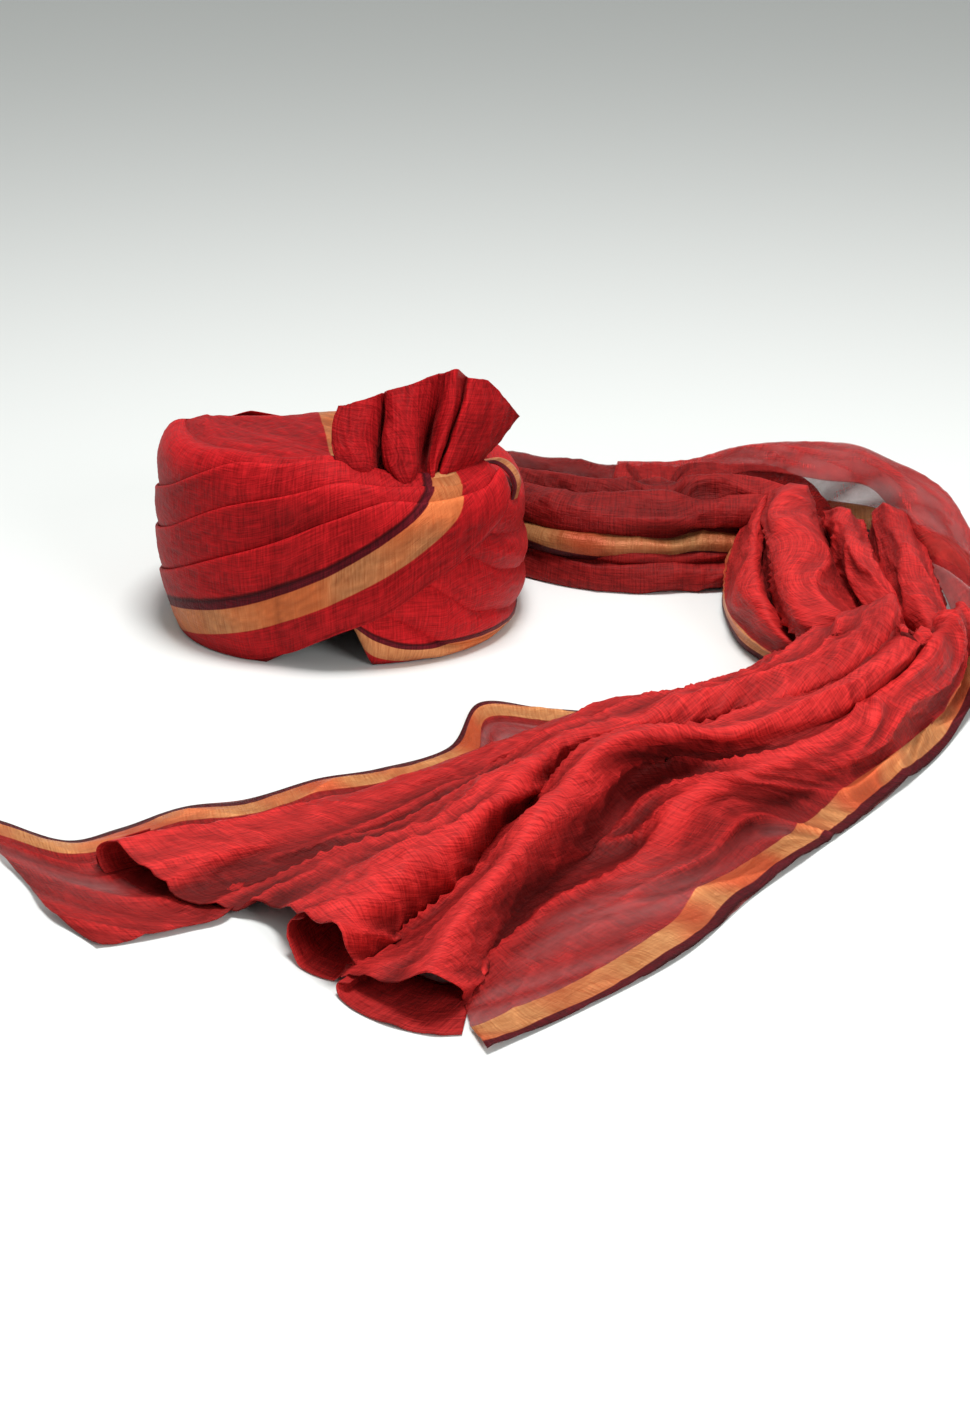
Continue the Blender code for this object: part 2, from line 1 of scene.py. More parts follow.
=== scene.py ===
"""A tied red turban with a gold and maroon border, and its loose tail spread over a pale floor.

Lengths are metres. Angles go round the hat's axis from +X, and the forehead is at -90 degrees. A level is a
share of the hat's height up its side: 0 is the rim, 1 is the shoulder, and 2 is the middle of the top.
"""

import math

import bpy
import numpy as np
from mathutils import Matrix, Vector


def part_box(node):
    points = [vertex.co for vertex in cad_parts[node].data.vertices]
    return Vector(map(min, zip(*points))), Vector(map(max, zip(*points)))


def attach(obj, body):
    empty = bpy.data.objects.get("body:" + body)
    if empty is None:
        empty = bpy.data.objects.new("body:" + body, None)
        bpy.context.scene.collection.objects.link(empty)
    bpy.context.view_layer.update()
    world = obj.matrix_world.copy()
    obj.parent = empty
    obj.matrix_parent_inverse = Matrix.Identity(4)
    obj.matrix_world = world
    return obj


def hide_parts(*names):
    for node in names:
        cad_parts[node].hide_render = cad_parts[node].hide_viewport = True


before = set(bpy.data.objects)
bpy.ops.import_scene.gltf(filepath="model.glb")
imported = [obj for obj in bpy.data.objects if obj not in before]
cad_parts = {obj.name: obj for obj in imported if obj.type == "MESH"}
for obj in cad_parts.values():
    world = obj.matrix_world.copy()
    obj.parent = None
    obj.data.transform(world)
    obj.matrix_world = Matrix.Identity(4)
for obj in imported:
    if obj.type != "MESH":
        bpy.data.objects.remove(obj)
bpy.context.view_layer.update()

CROWN_LOW, CROWN_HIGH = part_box("crown")
HAT_CENTRE = ((CROWN_LOW[0] + CROWN_HIGH[0]) / 2, (CROWN_LOW[1] + CROWN_HIGH[1]) / 2, 0.0)

# The camera that took the photo, worked out from the hat in it: its place in metres from the middle of the
# hat's foot, its tilt in degrees, its distance behind the picture in pixels, and the picture's size in pixels
CAMERA_PLACE = (0.099, -1.773, 0.650)
CAMERA_TILT = 67.8
FOCAL_PIXELS = 2714.0
PHOTO_WIDTH = 970
PHOTO_HEIGHT = 1406
SENSOR_HEIGHT = 36.0

# Hat sizes, as the solids have them
HAT_HALF_WIDTH = 0.119
HAT_HALF_DEPTH = 0.122
HAT_HEIGHT = 0.137
HAT_CORNER_POWER = 2.3
CROWN_WALL = 0.008
CROWN_NOTCH_HEIGHT = 0.036
NOTCH_LEFT_ANGLE = -112.5
NOTCH_APEX_ANGLE = -82.5
NOTCH_RIGHT_ANGLE = -75.0
WRAP_EASE = 0.0010
SHOULDER_EASE = 0.0012
EASE_FIRST_LEVEL = 0.76
EASE_SPAN = 0.14
RIGHT_WRAP_DEPTH = 0.0078
LEVEL_STEP = 0.012
SHOULDER_RADIUS_SHARE = 0.910

# Cloth
CLOTH_THICKNESS = 0.0005
FAN_CLOTH = 0.0006
TAIL_CLOTH = 0.0006
HEM_ABOVE_FLOOR = 0.0010
LIP_RADIUS = 0.0014
TUCK_DEPTH = 0.0050
GRID_STEP = 0.0018
CROWN_COLUMNS = 240
TOP_COLUMNS = 120
TOP_BAND_COLUMNS = 20

# How far a wrap's pleat edges rise over the cloth below, and how far the pleats puff out between them
LEFT_PLEAT = (0.0043, 0.0005)
RIGHT_PLEAT = (0.0034, 0.0046)
# A pleat's least width, the share of it that is tucked in, and the widths that give it full rise and puff
LEAST_PLEAT = 0.0004
TUCK_SHARE = 0.45
FULL_RISE_WIDTH = 0.007
FULL_PUFF_WIDTH = 0.014
HEM_TURN = 0.006
# The heights of a wrap's creases, its soft folds and its broad folds
WRAP_CREASE = 0.0004
WRAP_SOFT = 0.0004
WRAP_BROAD = 0.0009
# How far the right wrap's folds stand out at most, and the same for the turns of cloth inside the crown
RIGHT_WRAP_REACH = 0.0062
CROWN_TURN_HEIGHT = 0.0012

# The shoulder's height round the hat, as a share of HAT_HEIGHT: angle, height
SHOULDER_ROWS = (
    (-180, 0.965), (-150, 0.975), (-120, 0.985), (-90, 0.930), (-70, 0.840), (-45, 0.785), (-20, 0.755),
    (0, 0.735), (45, 0.720), (90, 0.710), (135, 0.800), (180, 0.965),
)
# The hat's side and top in section: level, share of the plan's radius, share of the shoulder's height
SECTION_ROWS = (
    (0.00, 0.945, 0.00), (0.12, 0.972, 0.12), (0.35, 1.000, 0.35), (0.60, 1.003, 0.60), (0.80, 0.985, 0.80),
    (0.93, 0.958, 0.93), (1.00, 0.910, 0.99), (1.08, 0.820, 1.01), (1.40, 0.500, 1.00), (2.00, 0.000, 1.00),
)
TOP_MIDDLE_SHARE = 0.965

# The left wrap's hem, its three pleat edges and its top edge, as levels
LEFT_ROWS = (
    (-258, 0.00, 0.13, 0.33, 0.57, 0.93),
    (-215, 0.00, 0.17, 0.38, 0.60, 1.03),
    (-180, 0.00, 0.23, 0.46, 0.66, 1.04),
    (-150, 0.00, 0.36, 0.58, 0.79, 1.06),
    (-122, 0.00, 0.54, 0.78, 0.96, 1.07),
    (-105, 0.07, 0.66, 0.87, 0.99, 1.07),
    (-90, 0.21, 0.80, 0.94, 1.01, 1.07),
    (-75, 0.34, 0.92, 0.97, 1.02, 1.07),
    (-62, 0.52, 0.93, 0.98, 1.02, 1.07),
    (-50, 0.65, 0.94, 0.98, 1.02, 1.07),
    (-40, 0.78, 0.95, 0.99, 1.03, 1.07),
    (-31, 0.92, 0.98, 1.01, 1.04, 1.07),
)
# The right wrap's hem, its four pleat edges and its top edge, as levels
RIGHT_ROWS = (
    (-88, 0.30, 0.42, 0.60, 0.76, 0.88, 0.97),
    (-84, 0.24, 0.40, 0.60, 0.76, 0.88, 0.98),
    (-77, 0.00, 0.35, 0.60, 0.76, 0.88, 0.99),
    (-65, 0.00, 0.22, 0.54, 0.76, 0.90, 1.00),
    (-55, 0.00, 0.10, 0.40, 0.71, 0.89, 1.01),
    (-45, 0.00, 0.07, 0.27, 0.61, 0.81, 1.02),
    (-35, 0.00, 0.06, 0.23, 0.50, 0.72, 1.04),
    (-15, 0.00, 0.05, 0.14, 0.40, 0.63, 1.06),
    (10, 0.00, 0.05, 0.11, 0.36, 0.60, 1.06),
    (45, 0.00, 0.06, 0.17, 0.38, 0.60, 1.06),
    (90, 0.00, 0.08, 0.22, 0.42, 0.62, 1.05),
    (122, 0.00, 0.10, 0.25, 0.45, 0.64, 1.03),
)
# How far the left wrap stands over the right wrap's cloth beneath it: angle, share of the right wrap's depth
OVERLAP_ROWS = ((-258, 0.9), (-236, 1.0), (-221, 0.0), (-106, 0.0), (-91, 1.0), (-50, 1.0), (-31, 1.8))
# The borders' lower edge round the hat, and the heights of their gold and maroon parts, in millimetres
LEFT_BORDER_ROWS = (
    (-258, -60.0, 17.0, 6.5), (-180, -14.0, 17.5, 6.5), (-149, 4.5, 18.0, 6.5), (-125, 18.0, 18.0, 7.0),
    (-107, 31.0, 19.5, 6.5), (-87, 52.5, 21.0, 6.0), (-68, 76.0, 25.0, 6.0), (-55, 97.0, 30.0, 7.0),
    (-49, 114.0, 34.0, 8.0), (-31, 170.0, 34.0, 8.0),
)
RIGHT_BORDER_ROWS = (
    (-88, 24.0, 9.0, 4.0), (-84, 20.0, 11.0, 4.0), (-78, 9.0, 13.0, 4.0), (-70, 3.0, 11.0, 4.0),
    (-60, 1.0, 10.0, 3.5), (-45, 0.0, 10.0, 3.5), (0, -3.0, 10.0, 3.5), (122, -12.0, 10.0, 3.5),
)
NO_BORDER = 9.0

# The top wrap's pleat edges across the top, from its front side to its back side
TOP_EDGES = (-1.0, -0.62, -0.22, 0.20, 0.62, 1.0)
TOP_RUN_ANGLE = -38.0
# The left edge of the gold band that crosses the top beside the fan, from back to front, and its width
TOP_GOLD = ((-0.012, -0.002), (-0.002, -0.074))
TOP_GOLD_WIDTH = 0.014
TOP_EASE = 0.0014
TOP_PLEAT_RISE = 0.0022
TOP_WRINKLE = 0.0006
# How far a pleat of the top bulges over the next and is tucked in, as shares of the top wrap's reach
TOP_LIP = 0.009
TOP_TUCK = 0.03
TOP_WRAP_REACH = 0.96

# The fan's fold lines, from its left edge to its right one. Each has five places in the photo, in pixels,
# from its foot to its top edge, and then how far it stands forward at each, in millimetres.
FAN_FOLDS = (
    (338, 464, 333, 452, 331, 438, 334, 420, 339, 406, 3, 4, 4, 4, 3),
    (345, 468, 341, 455, 339, 438, 342, 420, 348, 404, 5, 7, 7, 6, 4),
    (356, 470, 354, 456, 354, 440, 357, 420, 362, 400, 7, 10, 10, 8, 6),
    (366, 471, 367, 457, 368, 440, 370, 418, 373, 397, 6, 8, 8, 7, 5),
    (372, 476, 374, 462, 376, 440, 378, 415, 380, 394, 2, 2, 1, 1, 2),
    (379, 478, 380, 466, 382, 441, 383.5, 415, 384, 393, -11, -15, -14, -8, -2),
    (387, 480, 385, 468, 385, 441, 385.5, 415, 385.5, 392, -14, -20, -18, -11, -3),
    (397, 482, 385, 466, 383, 441, 385, 415, 386, 391, 2, 5, 5, 4, 3),
    (401, 484, 390, 466, 387, 441, 390, 415, 390, 390, 9, 12, 12, 9, 7),
    (405, 485, 401, 467, 400, 441, 402, 412, 403, 387, 11, 15, 15, 12, 8),
    (409, 486, 411, 468, 411, 441, 413, 410, 416, 382, 10, 14, 13, 10, 6),
    (415, 485, 418, 466, 419, 441, 423, 408, 427, 377, 6, 6, 6, 5, 3),
    (421, 484, 421, 463, 423, 440, 431, 406, 437, 374, -3, -7, -7, -1, 1),
    (425, 483, 425, 461, 429, 438, 437, 405, 443, 373, -8, -15, -13, -4, 1),
    (429, 482, 430, 462, 436, 438, 444, 404, 449, 371, 4, 3, 4, 5, 4),
    (434, 481, 437, 462, 445, 438, 454, 404, 457, 370, 7, 9, 9, 8, 6),
    (437, 480, 441, 463, 450, 438, 462, 405, 467, 376, -3, -8, -8, -8, -8),
    (439, 480, 444, 462, 453, 438, 465, 404, 471, 378, 4, 6, 6, 5, 1),
    (447, 479, 456, 461, 465, 437, 478, 404, 479, 379, 5, 8, 8, 7, 4),
    (457, 477, 468, 458, 476, 436, 490, 405, 489, 381, 3, 6, 7, 6, 5),
    (468, 472, 480, 455, 488, 437, 500, 413, 505, 399, 1, 4, 5, 5, 5),
    (484, 461, 492, 449, 500, 441, 510, 427, 520, 416, 0, 1, 2, 3, 4),
)
# The fan's foot lies on a circle round the hat's axis, at least so far in front of it, and the fan leans back
# over its height. Its root is lower in the photo, in pixels, and further in. All else is in millimetres.
FAN_SEAT_RADIUS = 111.0
FAN_SEAT_FIRST = 100.0
FAN_SEAT_LEAST = 38.0
FAN_LEAN = 24.0
FAN_ROOT_PIXELS = 3.5
FAN_ROOT_DEPTH = 7.0
# Shares across and up the fan past which its cloth is thin
FAN_THIN_FROM = (0.90, 0.86)

# Back loop sizes
LOOP_WIDTH = 0.019
LOOP_RISE = 0.009
LOOP_CROWNING = 0.0012
LOOP_ANGLE = -21.0
LOOP_FIRST_LEVEL = 0.84
LOOP_LAST_LEVEL = 1.12

# Tail
GOLD_WIDTH = 0.018
MAROON_WIDTH = 0.007
TAIL_LOWEST = 0.0009
# The heights of the tail's long folds, middle ones, soft ones and creases, and how far its border wavers
TAIL_FOLD = 0.0060
TAIL_MIDDLE_FOLD = 0.0017
TAIL_SOFT_FOLD = 0.0019
TAIL_CREASE = 0.0004
BORDER_WAVER = 0.0038
# The border coordinate goes from 0 to 1 over the gold, and then on by this much over the maroon
MAROON_SPAN = 0.34
# Creases are looked for over so many cells each way, and count fully at these depths; by them the cloth's
# colour is darkened in creases and lightened on ridges as painted shade and painted light
HAT_HOLLOWS = ((2, 0.0005), (9, 0.0040))
TAIL_HOLLOWS = ((3, 0.0016), (11, 0.0060))
# The tail's route as the solid tail has it, in millimetres
TAIL_REACH_RIGHT = 367.0
TAIL_REACH_FRONT = 490.0
TAIL_BUNDLE_HEIGHT = 60.0
TAIL_FULL_WIDTH = 380.0
TAIL_TUCK = 2.4
WRAPS_DEPTH = 7.6
# The step each way, as a share of the route's length, over which its heading is taken
ROUTE_STEP = 0.004
# The route's start beside the hat: angle, half width as a share of TAIL_FULL_WIDTH, share of the height
TAIL_HAT_ROWS = ((98, 0.030, 1.35), (74, 0.062, 1.22), (48, 0.115, 1.05))
# Then x and y as shares of the two reaches, inner and outer half width, and height
TAIL_ROWS = (
    (0.5, 0.19, 0.16, 0.155, 1.06), (0.69, 0.182, 0.158, 0.165, 1.1),
    (0.865, 0.165, 0.165, 0.2, 1.32), (0.978, 0.075, 0.195, 0.205, 1.42),
    (1.0, -0.09, 0.265, 0.2, 1.26), (0.94, -0.245, 0.225, 0.23, 1.08),
    (0.817, -0.388, 0.2, 0.27, 0.96), (0.64, -0.52, 0.272, 0.32, 0.9),
    (0.436, -0.653, 0.365, 0.38, 0.78), (0.232, -0.776, 0.3, 0.434, 0.66),
    (0.055, -0.888, 0.345, 0.474, 0.6), (-0.095, -1.0, 0.5, 0.5, 0.56),
)
# Each table below is a piece of the tail's cloth. A row goes across the folds, and the rows follow the tail.
# A fold line has three numbers in each row: a place in the photo, in pixels, and its height in millimetres,
# or, where the first is nearer to 0 than MOST_SHARE, its shares along the route, across it and of its height.
MOST_SHARE = 2.0
TAIL_SPREAD = (
    (790, 672, 3, 776, 664, 6, 771, 655, 14, 782, 652, 30, 800, 646, 42, 820, 635, 50, 840, 624, 55,
     858, 614, 59, 875, 604, 62, 891, 595, 65, 897, 604, 62, 893, 620, 55, 902, 628, 55, 911, 638, 53,
     922, 636, 50, 932, 630, 48, 942, 622, 50, 952, 616, 50, 962, 612, 44, 970, 618, 32, 977, 630, 20,
     984, 642, 10, 990, 650, 5, 996, 655, 2),
    (742, 690, 1.5, 732, 684, 3, 732, 678, 8, 748, 674, 24, 770, 668, 36, 792, 660, 43, 815, 652, 48,
     836, 642, 52, 855, 632, 56, 870, 630, 56, 880, 638, 52, 886, 647, 47, 896, 641, 51, 906, 641, 52,
     914, 648, 47, 922, 654, 42, 930, 650, 44, 938, 652, 42, 945, 660, 36, 950, 672, 24, 955, 684, 13,
     960, 695, 6, 967, 702, 3, 974, 706, 1.5),
    (668, 712, 1.5, 655, 708, 3, 652, 702, 7, 668, 698, 18, 692, 695, 28, 718, 690, 34, 745, 684, 38,
     770, 678, 42, 793, 672, 45, 812, 672, 45, 824, 682, 41, 832, 692, 36, 845, 684, 42, 858, 684, 42,
     867, 694, 37, 876, 700, 32, 884, 698, 36, 894, 702, 34, 903, 712, 26, 910, 724, 15, 915, 736, 7,
     922, 746, 3, 930, 752, 2, 938, 755, 1.5),
    (570, 730, 1.5, 558, 727, 3, 556, 721, 7, 570, 716, 14, 592, 712, 20, 615, 711, 25, 640, 708, 30,
     662, 704, 35, 682, 702, 38, 698, 706, 38, 708, 716, 34, 716, 726, 30, 728, 722, 36, 744, 722, 38,
     760, 728, 36, 775, 742, 28, 790, 750, 25, 806, 752, 29, 822, 762, 22, 836, 775, 12, 846, 788, 5,
     856, 797, 2.5, 866, 803, 2, 877, 806, 1.5),
    (480, 768, 1.5, 468, 762, 3, 467, 756, 7, 480, 750, 12, 503, 746, 16, 525, 745, 18, 542, 744, 18,
     555, 738, 26, 566, 733, 34, 575, 742, 32, 578, 760, 22, 582, 768, 18, 592, 756, 30, 604, 744, 42,
     622, 740, 46, 645, 765, 26, 668, 788, 20, 700, 790, 25, 730, 800, 18, 758, 814, 8, 776, 828, 3,
     790, 838, 2, 803, 846, 1.8, 813, 852, 1.5),
    (395, 798, 1.5, 382, 793, 3, 380, 787, 7, 393, 781, 12, 420, 780, 14, 450, 786, 11, 475, 786, 13,
     497, 776, 22, 517, 768, 32, 528, 775, 31, 528, 802, 17, 527, 817, 10, 538, 806, 22, 552, 796, 34,
     566, 795, 37, 590, 842, 10, 620, 852, 5, 650, 856, 9, 680, 862, 6, 700, 872, 2, 715, 880, 2,
     728, 886, 1.8, 740, 892, 1.6, 752, 896, 1.5),
    (300, 828, 1.5, 288, 824, 3, 286, 817, 7, 300, 811, 13, 330, 815, 13, 362, 826, 9, 395, 830, 10,
     425, 824, 20, 452, 824, 31, 468, 832, 31, 470, 862, 15, 468, 882, 6, 480, 872, 14, 500, 862, 27,
     512, 862, 30, 532, 895, 5, 555, 905, 2.5, 580, 914, 3, 602, 923, 3, 622, 932, 2, 640, 938, 1.8,
     656, 940, 1.6, 670, 948, 1.6, 684, 954, 1.5),
    (205, 850, 1.5, 192, 846, 3, 190, 838, 8, 205, 832, 15, 232, 842, 14, 262, 858, 8, 298, 865, 7,
     335, 862, 16, 368, 868, 27, 392, 880, 28, 402, 912, 14, 400, 937, 4, 412, 934, 8, 440, 930, 18,
     460, 922, 27, 488, 952, 5, 500, 962, 2, 515, 972, 2, 530, 980, 2, 545, 986, 1.6, 556, 991, 1.6,
     566, 996, 1.5, 577, 1001, 1.5, 588, 1006, 1.5),
    (112, 880, 2, 102, 868, 7, 97, 850, 15, 110, 845, 20, 138, 866, 17, 175, 897, 8, 231, 914, 4,
     270, 909, 11, 303, 917, 23, 331, 932, 24, 347, 966, 9, 344, 982, 2, 352, 983, 5, 395, 987, 13,
     432, 974, 22, 463, 1000, 5, 465, 1006, 2, 467, 1014, 1.5, 469, 1021, 1.3, 471, 1028, 1.3,
     474, 1034, 1.3, 478, 1040, 1.3, 482, 1046, 1.3, 487, 1052, 1.3),
)
TAIL_HEM = (
    (598, 712, 2, 600, 715, 2.5, 604, 720, 3, 612, 726, 3, 622, 732, 2, 640, 740, 2),
    (540, 708, 2, 541, 713, 3, 543, 720, 3.5, 550, 730, 3, 560, 738, 2, 580, 750, 2),
    (478, 703, 4, 483, 711, 4.5, 492, 722, 4, 510, 738, 3, 525, 748, 2, 550, 762, 2),
    (449, 747, 2, 457, 750, 4, 469, 755, 4, 490, 764, 3, 505, 772, 2, 530, 785, 2),
    (378, 769, 2, 384, 776, 3.5, 394, 786, 3.5, 415, 794, 2.5, 435, 802, 2, 465, 815, 2),
    (316, 779, 2, 322, 788, 3.5, 331, 799, 3, 350, 810, 2.5, 370, 820, 2, 400, 835, 2),
    (248, 799, 2, 252, 808, 3.5, 258, 820, 3, 275, 832, 2.5, 290, 842, 2, 320, 855, 2),
    (183, 807, 2, 186, 817, 3.5, 190, 830, 3, 205, 845, 2.5, 225, 858, 2, 255, 875, 2),
    (120, 828, 2, 122, 839, 3.5, 127, 855, 3, 145, 873, 2.5, 170, 888, 2, 231, 916, 1.5),
    (66, 841, 3, 70, 852, 5, 80, 868, 4, 105, 888, 4, 140, 908, 4, 189, 929, 1.5),
    (5, 822, 4, 8, 832, 5, 16, 850, 5, 42, 880, 4, 75, 912, 5, 126, 942, 1.5),
    (-22, 814, 2, -16, 826, 3, -4, 848, 3, 27, 882, 3, 50, 912, 3, 97, 946, 1.5),
)
TAIL_ROLL_ONE = (
    (97, 850, 15, 100, 862, 8, 108, 872, 3, 128, 880, 2, 150, 892, 2, 181, 906, 1.5),
    (120, 838, 15, 122, 848, 8, 130, 858, 3, 150, 866, 2, 172, 878, 2, 203, 892, 1.5),
    (150, 828, 13, 152, 838, 8, 160, 846, 3, 180, 854, 2, 202, 864, 2, 232, 878, 1.5),
)
TAIL_ROLL_TWO = (
    (303, 917, 23, 288, 926, 16, 290, 945, 8, 304, 968, 2, 328, 978, 1.5, 347, 968, 8),
    (322, 900, 23, 307, 910, 16, 309, 928, 8, 323, 950, 2, 347, 960, 1.5, 366, 950, 8),
    (345, 880, 23, 330, 890, 16, 332, 908, 8, 346, 930, 2, 370, 940, 1.5, 389, 930, 8),
)
TAIL_POCKET = (
    (350, 983, 7, 340, 986, 5, 341, 997, 2, 356, 1009, 2, 388, 1022, 2.5, 430, 1031, 3, 462, 1034, 1.5),
    (372, 966, 7, 362, 970, 5, 363, 980, 2, 378, 990, 2, 408, 1002, 2, 436, 1006, 2, 468, 1006, 1.5),
    (400, 945, 7, 390, 948, 5, 391, 958, 2, 406, 968, 2, 436, 980, 2, 455, 982, 2, 478, 980, 1.5),
)
TAIL_BULGE = (
    (745, 530, 20, 752, 508, 42, 764, 497, 60, 771, 493, 58, 777, 490, 72, 791, 488, 76, 803, 492, 72,
     812, 505, 58, 815, 520, 35),
    (731, 560, 12, 738, 540, 34, 755, 527, 55, 763, 530, 46, 775, 518, 70, 795, 515, 74, 812, 522, 68,
     822, 535, 52, 824, 550, 30),
    (723, 590, 7, 730, 568, 28, 751, 556, 49, 763, 563, 40, 775, 548, 64, 800, 545, 68, 822, 552, 60,
     836, 568, 44, 838, 585, 24),
    (724, 612, 3, 732, 602, 24, 756, 592, 43, 771, 598, 34, 782, 585, 56, 808, 583, 60, 832, 588, 54,
     850, 600, 38, 852, 615, 20),
    (737, 642, 2, 748, 630, 18, 770, 623, 35, 786, 628, 26, 795, 617, 48, 820, 613, 52, 845, 614, 48,
     864, 620, 34, 868, 632, 18),
    (765, 664, 1.5, 777, 655, 12, 796, 649, 25, 807, 652, 17, 818, 642, 36, 840, 636, 42, 860, 632, 40,
     878, 634, 30, 884, 642, 14),
)
TAIL_RIDGE = (
    (818, 530, 30, 828, 515, 55, 838, 508, 70, 850, 510, 72, 858, 520, 60, 862, 535, 40),
    (826, 560, 24, 834, 548, 48, 848, 545, 66, 864, 555, 66, 876, 572, 50, 880, 590, 30),
    (832, 585, 20, 842, 575, 44, 858, 575, 58, 875, 583, 60, 888, 597, 52, 892, 612, 34),
    (845, 615, 16, 856, 605, 38, 870, 605, 50, 884, 608, 54, 896, 616, 48, 902, 628, 34),
    (858, 640, 10, 868, 632, 30, 880, 630, 42, 892, 630, 46, 902, 636, 42, 908, 645, 30),
)
TAIL_PANEL = (
    (868, 545, 30, 876, 520, 55, 885, 505, 70, 897, 512, 70, 908, 525, 62, 913, 540, 48),
    (874, 575, 28, 882, 555, 50, 897, 545, 66, 912, 550, 66, 922, 560, 56, 927, 572, 40),
    (884, 600, 26, 894, 588, 46, 908, 580, 60, 922, 582, 60, 931, 590, 50, 938, 602, 36),
    (900, 628, 24, 908, 618, 42, 920, 610, 54, 933, 610, 54, 940, 616, 46, 947, 628, 32),
    (915, 650, 20, 922, 642, 34, 930, 636, 44, 940, 634, 46, 947, 638, 40, 955, 648, 26),
)
TAIL_OUTER = (
    (0.2, 0.05, 0.8, 0.2, 0.25, 0.95, 0.2, 0.46, 1.02, 0.2, 0.72, 0.85, 0.2, 0.93, 0.4, 0.2, 1, 0.02),
    (0.25, 0.1, 0.86, 0.25, 0.32, 0.98, 0.25, 0.5, 1.02, 0.25, 0.75, 0.85, 0.25, 0.95, 0.4, 0.25, 1, 0.02),
    (0.29, 0.2, 0.9, 0.29, 0.48, 1, 0.295, 0.7, 1.01, 0.3, 0.88, 0.8, 0.3, 0.98, 0.38, 0.3, 1, 0.02),
    (825, 480, 70, 826, 462, 77, 0.325, 0.86, 0.95, 0.33, 0.96, 0.78, 0.335, 1, 0.38, 0.335, 1.02, 0.02),
    (862, 484, 70, 866, 468, 77, 872, 457, 78, 0.365, 0.9, 0.74, 0.365, 0.98, 0.38, 0.365, 1, 0.02),
    (884, 500, 66, 892, 490, 74, 902, 490, 74, 0.395, 0.84, 0.7, 0.395, 0.95, 0.36, 0.395, 1, 0.02),
    (902, 527, 60, 912, 522, 68, 926, 524, 68, 0.43, 0.86, 0.62, 0.43, 0.96, 0.33, 0.43, 1, 0.02),
    (925, 560, 54, 938, 552, 61, 955, 552, 60, 0.465, 0.88, 0.58, 0.465, 0.97, 0.3, 0.465, 1, 0.02),
    (946, 598, 44, 960, 588, 50, 976, 588, 48, 0.5, 0.9, 0.5, 0.5, 0.98, 0.26, 0.5, 1, 0.02),
    (958, 632, 32, 972, 624, 38, 988, 624, 34, 0.53, 0.92, 0.4, 0.53, 0.98, 0.2, 0.53, 1, 0.02),
)
# The fold line from which the cloth of each row of the spread lies flat and thin
SPREAD_FLAT_FROM = (24, 24, 23, 21, 20, 18, 15.5, 15, 15, 15)
# The spread's hidden first row, from its first visible one: pixels right and down, and share of the height
SPREAD_UNDER = (-8, 9, 0.6)
SPREAD_UNDER_LEAST = 2.0
# How much more the spread's folds stand out than the heights in its table, and the least height
SPREAD_GAIN = 1.9
SPREAD_LEAST = 1.3
# The run's folds, from its inner side over the top to its outer side, as shares of its half width and height
RUN_FOLDS = (
    (-0.7, 0.28), (-0.86, 0.32), (-0.95, 0.41), (-0.93, 0.5), (-0.72, 0.56), (-0.84, 0.7), (-0.76, 0.84),
    (-0.52, 0.9), (-0.42, 0.68), (-0.3, 0.9), (-0.16, 1), (-0.02, 0.9), (0.06, 0.7), (0.24, 0.9),
    (0.46, 0.99), (0.72, 0.8), (0.93, 0.4), (1, 0.02),
)
# The run's rows: share of the route, the shares left of its width and height, and how much folds are raised
RUN_ROWS = (
    (0.001, 1, 1), (0.05, 1, 1), (0.10, 1, 1), (0.15, 1, 1),
    (0.19, 1, 1, 0, 0, 0, 0.02, 0.03, -0.04, 0.03, 0, 0.08, -0.05, 0.02, 0.02, 0.1),
    (0.23, 1, 1, 0, 0, 0.02, 0, -0.04, 0.05, -0.05, 0.05, -0.04, 0.05, -0.03, 0.04, -0.04),
    (0.26, 0.97, 0.97, 0, 0, 0.04, 0.04, 0.06, 0, 0.04, -0.04, 0.06, -0.02, 0.03, -0.04, 0.06),
    (0.295, 0.88, 0.90), (0.318, 0.72, 0.72), (0.335, 0.55, 0.40),
)
# How much shade is painted onto the run behind the hat, and how far its border lies from the edge that shows
RUN_PAINTED_SHADE = 0.62
RUN_BORDER_SHIFT = 0.010
# The same for the roll under it
UNDER_ROLL_FOLDS = (
    (-0.55, 0.04), (-0.85, 0.02), (-1.03, 0.08), (-1.02, 0.2), (-0.9, 0.28), (-0.92, 0.36), (-0.8, 0.42),
    (-0.55, 0.4),
)
UNDER_ROLL_ROWS = (
    (0.001, 1, 1), (0.05, 1, 1), (0.10, 1, 1), (0.15, 1, 1), (0.20, 1, 1), (0.25, 1, 1),
    (0.29, 0.9, 1), (0.33, 0.75, 1),
)
# Looks of the cloth: the depth of its crinkles in metres, its gold's dark and light tones, the orange patches
# in it and their strength, its gloss, how crumpled it is, and how much is seen through it where it is sheer.
# The orange patches are partly the red warp showing through the gold and partly painted sheen, for the gold's
# shine turning away
HAT_LOOK = {
    "crinkled": 0.0010, "gold_dark": (0.28, 0.075, 0.024, 1), "gold_light": (0.56, 0.25, 0.10, 1),
    "orange": (0.50, 0.11, 0.03, 1), "weave_and_sheen_patchy": 0.75, "gloss": 0.12, "crumpled": 0.3, "sheer": 0.0,
}
TAIL_LOOK = {
    "crinkled": 0.0015, "gold_dark": (0.46, 0.14, 0.04, 1), "gold_light": (0.80, 0.38, 0.15, 1),
    "orange": (0.56, 0.075, 0.026, 1), "weave_and_sheen_patchy": 0.85, "gloss": 0.22, "crumpled": 1.4, "sheer": 0.60,
}
